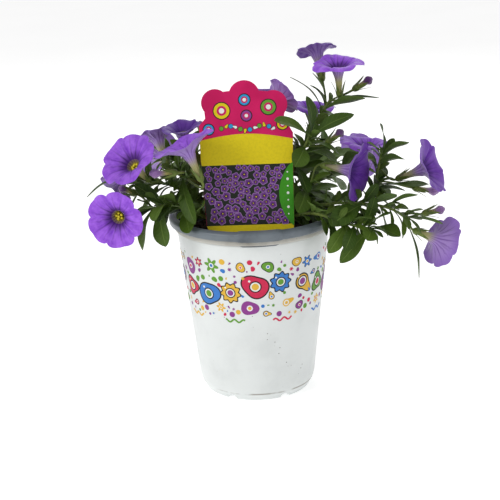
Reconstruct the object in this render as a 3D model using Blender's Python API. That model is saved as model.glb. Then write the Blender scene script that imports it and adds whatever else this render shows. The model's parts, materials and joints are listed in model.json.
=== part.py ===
"""A calibrachoa in bloom, growing in its round nursery pot with a plant tag.

Metres, +Z up. The origin is the middle of the pot's foot, on the surface it stands on.
The photograph's side is -Y.
"""

import math
import random

import bmesh
import bpy
from mathutils import Matrix, Vector
from mathutils.bvhtree import BVHTree
from mathutils.geometry import tessellate_polygon

MM = 0.001
SLIVER = 0.06 * MM

# Pot
POT_SIDES = 36
RIM_RADIUS = 55 * MM
POT_HEIGHT = 120 * MM
WALL_TOP_RADIUS = 50 * MM
WALL_FOOT_RADIUS = 39 * MM
WALL = 1.1 * MM
FOOT_LIFT = 2.6 * MM
FEET = 6
DRAIN_HOLES = 6
DRAIN_RADIUS = 3.2 * MM
DRAIN_RING = 20 * MM

# Soil
SOIL_TOP = 107 * MM
SOIL_SIDES = 24
TOUCHING_GAP = 0.3 * MM
ROOT_DEPTH = 8 * MM
ROOT_HOLE_EXTRA = 0.5 * MM

# Plant tag, in its own plane: across, and up from the soil
TAG_THICK = 0.8 * MM
TAG_FOOT = Vector((-1 * MM, -36.5 * MM, SOIL_TOP))
TAG_LEAN = math.radians(15)
TAG_STAKE_DEPTH = 24 * MM
TAG_STAKE_HALF = 8 * MM
TAG_LEFT = ((-25, 2), (-28.2, 13), (-30.6, 52), (-31, 76), (-27, 80.5))
TAG_LOBES = ((-20.6, 90.2, 8.6, 218, 52), (-2.0, 94.0, 9.8, 160, 18), (16.2, 88.2, 8.8, 112, -38))
TAG_RIGHT = ((22.5, 80), (28, 70), (27.4, 52), (27, 12), (25, 2))

# Leaves
LEAF_THICK = 0.7 * MM
LEAF_STATIONS = (0.0, 0.44, 0.86)
SMALL_LEAF = 18 * MM
SMALL_LEAF_STATIONS = (0.0, 0.66)
LEAF_LEAN = 0.8
LEAF_ROOT = 0.4 * MM
LEAF_GAP = 0.5 * MM
LEAF_TRIES = 40

# Blooms
TUBE_SIDES = 5
LOBES = 5
FUNNEL_DEPTH = 0.23
PETAL_THICK = 0.7 * MM
TUBE_LENGTH = 16 * MM
SEPALS = 5
STALK_RADIUS = 0.7 * MM

# Each leafy stem: its route in mm from just above the soil, its leaves' length, and the spacing of its leaves.
STEMS = {
    "left_low": (((-17, -6, 110), (-34, -10, 130), (-54, -14, 143), (-72, -18, 143)), 24, 6),
    "left_mid": (((-10, -3, 110), (-24, -10, 134), (-40, -18, 147), (-50, -24, 153)), 23, 6),
    "left_high": (((-6, 6, 110), (-16, 4, 132), (-26, -4, 148)), 22, 7),
    "left_back": (((-14, 8, 110), (-34, 22, 134), (-48, 24, 148), (-56, 18, 153)), 24, 9),
    "left_droop": (((-19, -14, 110), (-36, -27, 127), (-50, -32, 134), (-64, -34, 132)), 26, 6),
    "top": (((8, 6, 110), (24, 10, 142), (40, 13, 168), (53, 15, 189)), 22, 9),
    "centre": (((4, -5, 110), (18, -8, 136), (30, -14, 156), (38, -18, 173)), 24, 7),
    "behind_tag": (((-1, 13, 110), (1, 16, 138), (4, 16, 160)), 24, 8),
    "right_mid": (((13, -5, 110), (28, -14, 128), (38, -22, 144)), 24, 6),
    "right_behind": (((15, 5, 110), (36, 14, 130), (58, 20, 138), (70, 20, 143)), 24, 8),
    "right_far": (((19, -1, 110), (40, -6, 122), (61, -11, 123), (76, -13, 131), (81, -12, 147), (84, -11, 160)), 22, 7),
    "right_low": (((16, -12, 110), (42, -21, 127), (66, -26, 129), (86, -28, 126), (99, -30, 118)), 22, 8),
    "right_front": (((9, -15, 110), (34, -31, 125), (52, -38, 122), (66, -38, 117), (75, -36, 115)), 24, 7),
    "back_left": (((-10, 18, 110), (-25, 37, 131), (-42, 57, 142), (-53, 70, 137)), 26, 11),
    "back_mid": (((5, 21, 110), (10, 40, 142), (12, 58, 160)), 25, 10),
    "back_right": (((13, 15, 110), (34, 42, 130), (52, 62, 138), (62, 74, 132)), 25, 10),
}

# Each bloom: its stem, how far along the stem its stalk leaves, its throat in mm, where it faces, its width in mm, and its turn.
BLOOMS = {
    "low_left": ("left_low", 0.90, (-84, -39, 129), (-0.28, -0.95, -0.05), 37, -4),
    "behind_left": ("left_low", 0.90, (-85, -8, 143), (-0.60, -0.10, -0.79), 24, 30),
    "upper_left": ("left_mid", 0.94, (-73, -36, 161), (-0.45, -0.55, 0.70), 38, 20),
    "front_left": ("left_mid", 0.66, (-38, -42, 168), (-0.39, 0.05, 0.92), 40, 14),
    "dark_left": ("left_high", 0.95, (-43, -8, 174), (-0.10, -0.12, 0.99), 26, 40),
    "pale_left": ("left_back", 0.92, (-60, 13, 166), (-0.30, 0.45, 0.84), 25, 0),
    "top_front": ("top", 0.97, (58, 8, 209), (-0.05, -0.15, 0.98), 34, 10),
    "top_back": ("top", 0.86, (46, 32, 216), (-0.15, 0.40, 0.90), 27, 25),
    "behind_tag": ("behind_tag", 0.95, (19, 17, 189), (0.74, 0.48, 0.46), 27, 0),
    "mid_right": ("back_mid", 0.80, (43, 44, 175), (0.10, -0.06, 0.99), 31, 33),
    "right_middle": ("right_mid", 0.97, (61, -27, 151), (0.89, -0.42, -0.12), 37, 12),
    "right_behind": ("right_behind", 0.95, (77, 20, 153), (0.10, -0.02, 0.99), 37, 28),
    "far_right": ("right_far", 0.80, (109, -15, 147), (0.86, -0.33, 0.40), 37, 5),
    "low_right": ("right_low", 0.97, (116, -26, 104), (0.80, 0.40, -0.45), 34, 22),
    "far_left_back": ("back_left", 0.95, (-65, 84, 139), (-0.50, 0.80, 0.33), 35, 9),
    "up_back": ("back_mid", 0.97, (10, 76, 170), (-0.05, 0.82, 0.57), 35, 27),
    "far_right_back": ("back_right", 0.95, (76, 90, 132), (0.62, 0.76, 0.18), 34, 17),
}

# Each bud: its stem, how far along its stalk leaves, its foot in mm, where it points, and its length in mm.
BUDS = {
    "front_left": ("left_mid", 0.80, (-48, -43, 157), (-0.97, -0.20, 0.05), 15),
    "low_left": ("left_droop", 0.90, (-75, -26, 141), (-0.90, -0.10, 0.42), 10),
    "top": ("top", 0.93, (70, 14, 196), (0.86, 0.05, 0.50), 12),
    "centre": ("centre", 0.80, (50, -16, 168), (0.80, 0.10, 0.55), 11),
    "right_far": ("right_far", 0.66, (107, -4, 132), (0.95, 0.05, -0.20), 15),
    "right_low": ("right_low", 0.86, (112, -14, 118), (0.92, 0.25, 0.10), 13),
    "back": ("back_left", 0.70, (-32, 66, 156), (-0.20, 0.60, 0.75), 13),
    "back_right": ("back_right", 0.70, (44, 74, 148), (0.30, 0.70, 0.60), 13),
}

# Leaves placed one by one: stem, how far along it, where the tip is in mm, and width in mm.
SHOWN_LEAVES = (
    ("left_mid", 0.78, (-36, -45, 124), 10),
    ("left_droop", 0.84, (-55, -44, 110), 14),
    ("left_droop", 0.97, (-70, -40, 107), 10),
    ("left_droop", 0.70, (-62, -36, 118), 11),
    ("left_droop", 0.55, (-40, -46, 119), 11),
    ("left_droop", 0.62, (-58, -42, 142), 10),
    ("left_low", 0.97, (-105, -22, 138), 6),
    ("left_low", 0.66, (-70, -26, 128), 11),
    ("left_high", 0.94, (-52, 4, 168), 9),
    ("centre", 0.97, (15, -30, 185), 12),
    ("centre", 0.98, (36, -16, 197), 11),
    ("centre", 0.94, (66, -14, 184), 11),
    ("centre", 0.90, (55, -30, 162), 12),
    ("centre", 0.84, (27, -34, 156), 12),
    ("centre", 0.62, (35, -30, 138), 10),
    ("top", 0.88, (27, 10, 205), 5),
    ("top", 0.94, (42, 18, 206), 7),
    ("top", 0.95, (40, 12, 199), 7),
    ("top", 0.97, (84, 8, 190), 6),
    ("top", 0.91, (74, -3, 192), 10),
    ("right_mid", 0.80, (28, -40, 128), 12),
    ("right_low", 0.56, (48, -44, 120), 14),
    ("right_front", 0.62, (46, -50, 104), 10),
    ("right_front", 0.70, (56, -52, 106), 10),
    ("right_front", 0.95, (53, -52, 98), 10),
    ("right_front", 0.98, (92, -42, 111), 14),
    ("right_front", 0.97, (70, -52, 112), 11),
    ("right_front", 0.90, (86, -44, 127), 9),
    ("right_far", 0.97, (82, -16, 178), 10),
    ("right_far", 0.92, (100, -20, 166), 9),
    ("right_far", 0.86, (95, -30, 158), 10),
    ("right_far", 0.70, (112, -22, 139), 11),
    ("right_far", 0.62, (96, -32, 138), 10),
    ("right_low", 0.93, (106, -26, 78), 5),
    ("right_low", 0.80, (96, -20, 103), 5),
    ("right_low", 0.92, (108, -38, 122), 6),
    ("right_low", 0.95, (119, -38, 117), 5),
    ("right_low", 0.90, (105, -42, 112), 6),
)


def catmull(points, steps):
    """A smooth curve through the points, with this many steps between each two. It sets off half upwards."""
    before = points[0] - Vector((0, 0, (points[1] - points[0]).length))
    ends = [before, *points, 2 * points[-1] - points[-2]]
    curve = []
    for a, b, c, d in zip(ends, ends[1:], ends[2:], ends[3:]):
        for k in range(steps):
            t = k / steps
            curve.append(
                0.5 * (2 * b + (c - a) * t + (2 * a - 5 * b + 4 * c - d) * t * t + (3 * b - a - 3 * c + d) * t**3)
            )
    return [*curve, points[-1].copy()]


def along(curve, share):
    """The point at this share of the curve, and the curve's direction there."""
    place = share * (len(curve) - 1)
    i = min(int(place), len(curve) - 2)
    step = curve[i + 1] - curve[i]
    return curve[i] + step * (place - i), step.normalized()


def stem_curve(name, steps):
    """A leafy stem's route: straight up out of its hole in the soil, then through its points."""
    points = [Vector(p) * MM for p in STEMS[name][0]]
    root = Vector((points[0].x, points[0].y, SOIL_TOP - ROOT_DEPTH))
    return [root, *catmull(points, steps)]


def flower_frame(facing, turn):
    """Three axes of a bloom, as columns: the third is where it faces."""
    z = Vector(facing).normalized()
    x = z.cross(Vector((0, 0, 1))).normalized()
    y = z.cross(x)
    turned = math.radians(turn)
    return Matrix((x * math.cos(turned) + y * math.sin(turned), y * math.cos(turned) - x * math.sin(turned), z)).transposed()


def stalk_curve(stem, share, foot, facing, steps):
    """A thin stalk from the stem to the foot of a bloom or bud, arriving the way that it faces."""
    start, lead = along(stem_curve(stem, 8), share)
    end = foot - facing * 2.6 * MM
    reach = (end - start).length
    a = start + lead * reach * 0.35
    b = end - facing * reach * 0.45
    return [
        start * (1 - t) ** 3 + a * 3 * t * (1 - t) ** 2 + b * 3 * t * t * (1 - t) + end * t**3
        for t in (k / steps for k in range(steps + 1))
    ]


def lobe(angle):
    """How far the limb reaches at an angle: five rounded lobes, each a little notched."""
    phase = (angle * LOBES / math.tau) % 1.0
    between = min(phase, 1 - phase)
    notch = 0.025 * math.exp(-(((phase - 0.5) / 0.07) ** 2))
    return 0.83 + 0.17 * math.sin(math.pi * min(0.5, between * 1.9)) ** 0.7 - notch


def limb_height(share, width, angle):
    """Height above the throat of the limb: a funnel that opens out flat, waved at its edge."""
    wave = math.cos(angle * LOBES) * 0.02 * width * share**2
    return FUNNEL_DEPTH * width * share**0.68 + wave


def limb_point(share, width, angle, below):
    """A point of the limb, from 0 at the throat to 1 at its edge, in the bloom's own frame."""
    throat = 4.2 * MM
    reach = 1 - (1 - lobe(angle)) * share**2
    radius = throat + (width / 2 - throat) * share * reach
    height = TUBE_LENGTH + limb_height(share, width, angle) - below
    return Vector((radius * math.cos(angle), radius * math.sin(angle), height))


def leaf_pose(base, tip, width, bend):
    """A leaf from its base to its tip, as a dictionary of its driving values. Its face leans up and outwards."""
    heading = (tip - base).normalized()
    outwards = Vector((base.x, base.y, 0)).normalized() * LEAF_LEAN
    side = heading.cross(Vector((0, 0, 1)) + outwards)
    side = side.normalized() if side.length > 0.05 else heading.cross(Vector((0, 1, 0))).normalized()
    length = (tip - base).length
    return {"base": base, "heading": heading, "side": side, "length": length, "width": width, "bend": bend}


def leaf_centre(leaf, t):
    """A point on the midrib, and the direction there. The blade starts a little above its heading and droops."""
    up = leaf["side"].cross(leaf["heading"])
    bend = leaf["bend"]
    angle = bend * (1 - 2 * t)
    direction = leaf["heading"] * math.cos(angle) + up * math.sin(angle)
    rise = math.sin(math.pi * t) * leaf["length"] * bend / math.pi
    return leaf["base"] + leaf["heading"] * (leaf["length"] * t) + up * rise, direction


def leaf_half_width(leaf, t):
    """Half the blade's width: a narrow foot, widest well past the middle, and a blunt tip."""
    shape = max(0.0, math.sin(math.pi * min(1.0, t) ** 1.6)) ** 0.75
    return max(LEAF_ROOT * (1 - t), leaf["width"] / 2 * shape)


class Room:
    """Solids already in place, so that a new leaf can be bent clear of them."""

    def __init__(self):
        self.things = []

    def add(self, solid, owner):
        self.things.append((box_of(solid[0]), BVHTree.FromPolygons(*solid, all_triangles=True), owner))

    def meets(self, solid, own):
        """Whether a solid crosses anything of its own stem, or anything of all the others."""
        low, high = box_of(solid[0])
        tree = BVHTree.FromPolygons(*solid, all_triangles=True)
        for (others_low, others_high), other, owner in self.things:
            apart = any(low[i] > others_high[i] or high[i] < others_low[i] for i in range(3))
            if not apart and own(owner) and tree.overlap(other):
                return True
        return False

    def takes(self, leaf, name):
        """Adds a leaf to its stem if its blade is clear of everything, all but its root of its own stem too."""
        if self.meets(leaf_solid(leaf, 0.0, LEAF_GAP), lambda owner: owner != name):
            return False
        if self.meets(leaf_solid(leaf, 0.30, LEAF_GAP), lambda owner: owner == name):
            return False
        self.add(leaf_solid(leaf, 0.12, 0.0), name)
        return True


def box_of(points):
    return tuple(tuple(pick(p[i] for p in points) for i in range(3)) for pick in (min, max))


def tag_frame():
    return Matrix.Translation(TAG_FOOT) @ Matrix.Rotation(-TAG_LEAN, 4, "X")


def plant_layout():
    """Every leaf of every leafy stem. Leaves stand in turn round their stem, and each is turned until it is clear."""
    room = Room()
    room.add(pot_solid(), "pot")
    room.add(soil_solid(), "soil")
    room.add(tag_solid(), "tag")
    for name in BLOOMS:
        room.add(bloom_solid(name), "bloom_" + name)
    for name in BUDS:
        room.add(bud_solid(name), "bud_" + name)
    for name in STEMS:
        for solid in shoots(name):
            room.add(solid, name)
    leaves = {name: [] for name in STEMS}
    for stem, share, tip, width in SHOWN_LEAVES:
        base, _ = along(stem_curve(stem, 8), share)
        for bend in (0.35, 0.2, 0.5, 0.0, 0.7, -0.2):
            leaf = leaf_pose(base, Vector(tip) * MM, width * MM, bend)
            if room.takes(leaf, stem):
                leaves[stem].append(leaf)
                break
    for name, (_, length, spacing) in STEMS.items():
        leaves[name] += leaves_by_rule(name, length * MM, spacing * MM, room)
    return leaves


def leaves_by_rule(name, length, spacing, room):
    """Leaves up one stem, then a tuft of small ones at its tip."""
    draw = random.Random("leaves of " + name)
    curve = stem_curve(name, 8)
    reach = sum((b - a).length for a, b in zip(curve, curve[1:]))
    count = int(reach * 0.86 / spacing)
    tuft = 4
    found = []
    turn = draw.uniform(0, math.tau)
    for k in range(count + tuft):
        in_tuft = k >= count
        share = 0.91 + 0.017 * (k - count) if in_tuft else 0.16 + 0.72 * k / count
        size = draw.uniform(0.4, 0.65) if in_tuft else draw.uniform(0.75, 1.15) * (1.0 if share < 0.8 else 0.85)
        base, lead = along(curve, share)
        across = lead.cross(Vector((0.3, 0.2, 1))).normalized()
        other = lead.cross(across)
        turn += math.radians(137.5)
        for attempt in range(LEAF_TRIES):
            angle = turn + math.radians(21 * attempt)
            opening = math.radians(draw.uniform(20, 62) if in_tuft else draw.uniform(38, 82))
            out = across * math.cos(angle) + other * math.sin(angle)
            heading = (lead * math.cos(opening) + out * math.sin(opening) + Vector((0, 0, 0.08))).normalized()
            long = length * size * (1 - 0.012 * attempt)
            leaf = leaf_pose(base, base + heading * long, long * draw.uniform(0.36, 0.48), draw.uniform(0.1, 0.6))
            if room.takes(leaf, name):
                found.append(leaf)
                break
    return found


# Mesh helpers


def mesh_object(name, points, faces, colour, roughness, smooth=True):
    """A named object from points and faces, with its own plain material."""
    mesh = bpy.data.meshes.new(name)
    mesh.from_pydata([tuple(p) for p in points], [], faces)
    mesh.validate()
    obj = bpy.data.objects.new(name, mesh)
    bpy.context.scene.collection.objects.link(obj)
    material = bpy.data.materials.new(name)
    material.use_nodes = True
    shader = material.node_tree.nodes["Principled BSDF"]
    shader.inputs["Base Color"].default_value = (*colour, 1)
    shader.inputs["Roughness"].default_value = roughness
    shader.inputs["Metallic"].default_value = 0.0
    mesh.materials.append(material)
    if smooth:
        mesh.shade_smooth()
        mesh.set_sharp_from_angle(angle=math.radians(35))
    return obj


def rings_solid(rings):
    """Points and faces of a closed solid through rings of equal size, its two ends closed by fans of triangles."""
    count = len(rings[0])
    points = [p for ring in rings for p in ring]
    faces = []
    for i in range(len(rings) - 1):
        for k in range(count):
            a, b = i * count + k, i * count + (k + 1) % count
            faces += [(a, b, b + count), (a, b + count, a + count)]
    last = (len(rings) - 1) * count
    faces += [(0, k + 1, k) for k in range(1, count - 1)]
    faces += [(last, last + k, last + k + 1) for k in range(1, count - 1)]
    return points, faces


def tube(curve, radius_start, radius_end, sides):
    """A round tube along a curve. Its rings keep the same turn from one to the next."""
    rings = []
    axis = (curve[1] - curve[0]).normalized()
    across = axis.cross(Vector((0.31, 0.95, 0.1))).normalized()
    for i, centre in enumerate(curve):
        ahead = curve[min(i + 1, len(curve) - 1)] - curve[max(i - 1, 0)]
        axis = ahead.normalized()
        across = (across - axis * across.dot(axis)).normalized()
        other = axis.cross(across)
        radius = radius_start + (radius_end - radius_start) * i / (len(curve) - 1)
        ring = []
        for k in range(sides):
            angle = math.tau * k / sides
            ring.append(centre + (across * math.cos(angle) + other * math.sin(angle)) * radius)
        rings.append(ring)
    return rings_solid(rings)


def leaf_solid(leaf, first=0.0, more=0.0):
    """A thin closed blade from a share of its length on: the same triangles above and below, and a flat edge."""
    top, under = [], []
    thick = LEAF_THICK / 2 + more
    stations = SMALL_LEAF_STATIONS if leaf["length"] < SMALL_LEAF else LEAF_STATIONS
    stations = [first, *[t for t in stations if t > first + 0.05]]
    for t in stations:
        centre, direction = leaf_centre(leaf, t)
        normal = leaf["side"].cross(direction).normalized()
        half = leaf_half_width(leaf, t) + more
        for s in (-1, 1):
            edge = centre + leaf["side"] * (half * s)
            top.append(edge + normal * thick)
            under.append(edge - normal * thick)
    tip, direction = leaf_centre(leaf, 1.0 + more / leaf["length"])
    normal = leaf["side"].cross(direction).normalized()
    top.append(tip + normal * thick)
    under.append(tip - normal * thick)
    rows = len(stations)
    upper = []
    for i in range(rows - 1):
        a = 2 * i
        upper += [(a, a + 1, a + 3), (a, a + 3, a + 2)]
    upper.append((2 * rows - 2, 2 * rows - 1, 2 * rows))
    outline = [*range(0, 2 * rows, 2), 2 * rows, *range(2 * rows - 1, 0, -2)]
    count = len(top)
    faces = list(upper) + [(a + count, c + count, b + count) for a, b, c in upper]
    for a, b in zip(outline, outline[1:] + outline[:1]):
        faces += [(a, b, b + count), (a, b + count, a + count)]
    return top + under, faces


def joined_rings(rings):
    """As rings_solid, where a ring may have twice or half as many points as the ring before it."""
    points = [p for ring in rings for p in ring]
    faces = []
    first = 0
    for near, far in zip(rings, rings[1:]):
        a, b = len(near), len(far)
        second = first + a
        for k in range(max(a, b)):
            i, j = k * a // max(a, b), k * b // max(a, b)
            i_next, j_next = (k + 1) * a // max(a, b) % a, (k + 1) * b // max(a, b) % b
            if i != i_next:
                faces.append((first + i, first + i_next, second + j_next))
            if j != j_next:
                faces.append((first + i, second + j_next, second + j))
        first = second
    faces += [(0, k + 1, k) for k in range(1, len(rings[0]) - 1)]
    faces += [(first, first + k, first + k + 1) for k in range(1, len(rings[-1]) - 1)]
    return points, faces


def frame_ring(foot, frame, radii, height, count):
    """A ring in a bloom's frame. Its points take the radii in turn."""
    ring = []
    for k in range(count):
        angle = math.tau * k / count
        radius = radii[k % len(radii)] * MM
        high = height[k % len(height)] * MM
        ring.append(foot + frame @ Vector((radius * math.cos(angle), radius * math.sin(angle), high)))
    return ring


def stalk_with_calyx(curve, foot, frame):
    """A stalk that widens into a green cup, whose rim is drawn out into five narrow sepals clear of the tube."""
    rings = []
    ahead = (curve[1] - curve[0]).normalized()
    for i, centre in enumerate(curve[:-1]):
        ahead = (curve[i + 1] - curve[max(i - 1, 0)]).normalized()
        across = (frame.col[0] - ahead * frame.col[0].dot(ahead)).normalized()
        other = ahead.cross(across)
        ring = []
        for k in range(SEPALS):
            angle = math.tau * k / SEPALS
            ring.append(centre + (across * math.cos(angle) + other * math.sin(angle)) * STALK_RADIUS)
        rings.append(ring)
    rings.append(frame_ring(foot, frame, (0.9,), (-3.0,), SEPALS))
    rings.append(frame_ring(foot, frame, (2.5,), (-1.0,), SEPALS))
    rings.append(frame_ring(foot, frame, (5.0, 2.9), (8.0, 1.4), 2 * SEPALS))
    rings.append(frame_ring(foot, frame, (1.9,), (-0.4,), SEPALS))
    return joined_rings(rings)


def outward(points, faces):
    """The faces, turned round if they enclose a negative volume."""
    volume = sum(points[a].dot(points[b].cross(points[c])) for a, b, c in faces)
    return faces if volume > 0 else [(a, c, b) for a, b, c in faces]


def fused(name, solids, colour, roughness):
    """One object from several closed solids that reach into each other, by one Boolean union."""
    base = mesh_object(name, solids[0][0], outward(*solids[0]), colour, roughness)
    group = bpy.data.collections.new(name + "_pieces")
    bpy.context.scene.collection.children.link(group)
    pieces = []
    for i, (points, faces) in enumerate(solids[1:]):
        mesh = bpy.data.meshes.new(f"{name}_piece_{i}")
        mesh.from_pydata([tuple(p) for p in points], [], outward(points, faces))
        piece = bpy.data.objects.new(mesh.name, mesh)
        group.objects.link(piece)
        pieces.append(piece)
    union = base.modifiers.new("fuse", "BOOLEAN")
    union.operation = "UNION"
    union.operand_type = "COLLECTION"
    union.collection = group
    union.solver = "MANIFOLD"
    bpy.context.view_layer.objects.active = base
    bpy.ops.object.modifier_apply(modifier=union.name)
    for piece in pieces:
        bpy.data.objects.remove(piece)
    bpy.data.collections.remove(group)
    merge_slivers(base)
    return base


def merge_slivers(obj):
    """Merges the points that a union leaves almost together, wherever that keeps the surface closed."""
    mesh = bmesh.new()
    mesh.from_mesh(obj.data)
    bmesh.ops.triangulate(mesh, faces=mesh.faces)
    short = True
    while short:
        short = False
        for edge in mesh.edges:
            a, b = edge.verts
            shared = {e.other_vert(a) for e in a.link_edges} & {e.other_vert(b) for e in b.link_edges}
            if edge.calc_length() < SLIVER and len(shared) == 2:
                bmesh.ops.pointmerge(mesh, verts=[a, b], merge_co=a.co)
                short = True
                break
    trial = mesh.copy()
    bmesh.ops.dissolve_degenerate(trial, edges=trial.edges, dist=SLIVER / 6)
    bmesh.ops.triangulate(trial, faces=trial.faces)
    closed = all(len(edge.link_faces) == 2 for edge in trial.edges)
    (trial if closed else mesh).to_mesh(obj.data)
    trial.free()
    mesh.free()


def cut(obj, cutters):
    """Cuts closed solids out of an object."""
    for i, (points, faces) in enumerate(cutters):
        mesh = bpy.data.meshes.new("cutter")
        mesh.from_pydata([tuple(p) for p in points], [], outward(points, faces))
        tool = bpy.data.objects.new(f"cutter_{i}", mesh)
        bpy.context.scene.collection.objects.link(tool)
        difference = obj.modifiers.new("cut", "BOOLEAN")
        difference.operation = "DIFFERENCE"
        difference.object = tool
        difference.solver = "MANIFOLD"
        bpy.context.view_layer.objects.active = obj
        bpy.ops.object.modifier_apply(modifier=difference.name)
        bpy.data.objects.remove(tool)


# Pot, soil and tag


def wall_radius(height):
    """Outer radius of the tapered wall at a height."""
    low, high = 12 * MM, 110 * MM
    return WALL_FOOT_RADIUS + (WALL_TOP_RADIUS - WALL_FOOT_RADIUS) * (height - low) / (high - low)


def pot_profiles():
    """Outer and inner outlines of the pot from the axis: (radius, height, whether the notches lift it)."""
    top = POT_HEIGHT
    outer = [
        (10 * MM, 0, False),
        (13 * MM, FOOT_LIFT, False),
        (27 * MM, FOOT_LIFT, False),
        (29 * MM, 0, True),
        (34.5 * MM, 0, True),
        (36.6 * MM, 3.4 * MM, False),
        (WALL_FOOT_RADIUS, 12 * MM, False),
        (WALL_TOP_RADIUS, 110 * MM, False),
        (WALL_TOP_RADIUS + 1.6 * MM, 111 * MM, False),
        (WALL_TOP_RADIUS + 1.7 * MM, 114.2 * MM, False),
        (RIM_RADIUS - 0.9 * MM, 114.0 * MM, False),
        (RIM_RADIUS, 116 * MM, False),
        (RIM_RADIUS - 0.5 * MM, 118.8 * MM, False),
        (RIM_RADIUS - 2 * MM, top, False),
    ]
    inner = [
        (RIM_RADIUS - 4.8 * MM, top - 1.6 * MM, False),
        (wall_radius(110 * MM) - WALL, 110 * MM, False),
        (wall_radius(12 * MM) - WALL, 12 * MM, False),
        (33 * MM, FOOT_LIFT + WALL, False),
    ]
    return outer, inner


def circle(radius, height, sides, lift=0.0):
    """A ring of points. A lift raises one point in each foot's width, which makes the notch between two feet."""
    ring = []
    for k in range(sides):
        angle = math.tau * k / sides
        raised = lift if lift and k % (sides // FEET) == 0 else 0.0
        ring.append(Vector((radius * math.cos(angle), radius * math.sin(angle), height + raised)))
    return ring


def pot_solid():
    """The thin pot without its drain holes: a rolled rim, a tapered wall and a rounded foot on six pads."""
    outer, inner = pot_profiles()
    rings = [circle(r, z, POT_SIDES, FOOT_LIFT if notched else 0.0) for r, z, notched in outer + inner]
    return rings_solid(rings)


def build_pot():
    """The pot, one moulded shell, with drain holes through its floor."""
    points, faces = pot_solid()
    pot = mesh_object("pot", points, outward(points, faces), (0.80, 0.81, 0.78), 0.35)
    drains = []
    for k in range(DRAIN_HOLES):
        angle = math.tau * (k + 0.5) / DRAIN_HOLES
        centre = Vector((DRAIN_RING * math.cos(angle), DRAIN_RING * math.sin(angle), 0))
        low = [centre + p for p in circle(DRAIN_RADIUS, -2 * MM, 8)]
        high = [centre + p for p in circle(DRAIN_RADIUS, 9 * MM, 8)]
        drains.append(rings_solid([low, high]))
    cut(pot, drains)
    return pot


def soil_height(x, y):
    """The uneven top of the soil."""
    bumps = math.sin(x * 310 + 1.3) * math.cos(y * 270) + 0.6 * math.sin(x * 520 + y * 610)
    dip = 1.6 * MM * (math.hypot(x, y) / (48 * MM)) ** 2
    return SOIL_TOP + bumps * 0.8 * MM - dip


def soil_solid():
    """The root ball, which fills the pot."""
    rings = []
    for radius, height in ((32, 4.2), (37.4, 12.4), (48.0, 105.4)):
        rings.append(circle(radius * MM - TOUCHING_GAP, height * MM, SOIL_SIDES))
    for share in (0.94, 0.66, 0.34):
        ring = circle(47.7 * MM * share, 0, SOIL_SIDES)
        rings.append([Vector((p.x, p.y, soil_height(p.x, p.y))) for p in ring])
    return rings_solid(rings)


def build_soil():
    """The root ball. Each stem and the tag's stake stand in plain holes in it."""
    points, faces = soil_solid()
    soil = mesh_object("soil", points, outward(points, faces), (0.045, 0.03, 0.02), 0.95)
    holes = []
    for name in STEMS:
        foot = Vector(STEMS[name][0][0]) * MM
        ring = circle(stem_radius(0) + ROOT_HOLE_EXTRA, 0, 6)
        low = [Vector((foot.x, foot.y, SOIL_TOP - ROOT_DEPTH - TOUCHING_GAP)) + p for p in ring]
        high = [Vector((foot.x, foot.y, SOIL_TOP + 6 * MM)) + p for p in ring]
        holes.append(rings_solid([low, high]))
    holes.append(tag_slot())
    cut(soil, holes)
    merge_slivers(soil)
    return soil


def tag_stake(extra, top):
    """Outline of the tag's stake, from its point up to a height, grown by an extra on each side."""
    half = TAG_STAKE_HALF + extra
    depth = TAG_STAKE_DEPTH + extra
    return [(-half, top), (-half, -0.6 * depth), (0, -depth), (half, -0.6 * depth), (half, top)]


def plate(outline, thick):
    """A flat plate in the tag's plane from an outline of (across, up) points in metres."""
    frame = tag_frame()
    front = [frame @ Vector((u, -thick / 2, v)) for u, v in outline]
    back = [frame @ Vector((u, thick / 2, v)) for u, v in outline]
    return front, back


def tag_slot():
    """The slot that the stake stands in, with a little room all round."""
    front, back = plate(tag_stake(0.5 * MM, 10 * MM), TAG_THICK + 2 * TOUCHING_GAP)
    return rings_solid([front, back])


def tag_outline():
    """The tag's outline: a stake, a body that widens upwards, and three round lobes across its top."""
    outline = [(u, v) for u, v in tag_stake(0, 2 * MM)]
    outline.reverse()
    points = [(u * MM, v * MM) for u, v in TAG_LEFT]
    for u, v, radius, start, end in TAG_LOBES:
        steps = 8
        for k in range(steps + 1):
            angle = math.radians(start + (end - start) * k / steps)
            points.append(((u + radius * math.cos(angle)) * MM, (v + radius * math.sin(angle)) * MM))
    points += [(u * MM, v * MM) for u, v in TAG_RIGHT]
    return points + outline


def tag_solid():
    """The tag's sheet, in triangles from its outline's middle."""
    outline = tag_outline()
    front, back = plate(outline, TAG_THICK)
    count = len(outline)
    faces = []
    for face in (list(range(count)), list(range(count, 2 * count))):
        for a, b, c in tessellate_polygon([[(*outline[i % count], 0) for i in face]]):
            faces.append((face[a], face[b], face[c]))
    for k in range(count):
        a, b = k, (k + 1) % count
        faces += [(a, b, b + count), (a, b + count, a + count)]
    return front + back, faces


def build_tag():
    """The printed plastic tag, pushed into the soil just inside the front of the rim."""
    outline = tag_outline()
    front, back = plate(outline, TAG_THICK)
    count = len(outline)
    faces = [tuple(range(count - 1, -1, -1)), tuple(range(count, 2 * count))]
    faces += [(k, (k + 1) % count, (k + 1) % count + count, k + count) for k in range(count)]
    return mesh_object("plant_tag", front + back, faces, (0.70, 0.05, 0.22), 0.4, smooth=False)


# Plant


def stem_radius(share):
    """Stems taper from their foot to their tip."""
    return (1.25 - 0.45 * share) * MM


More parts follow.
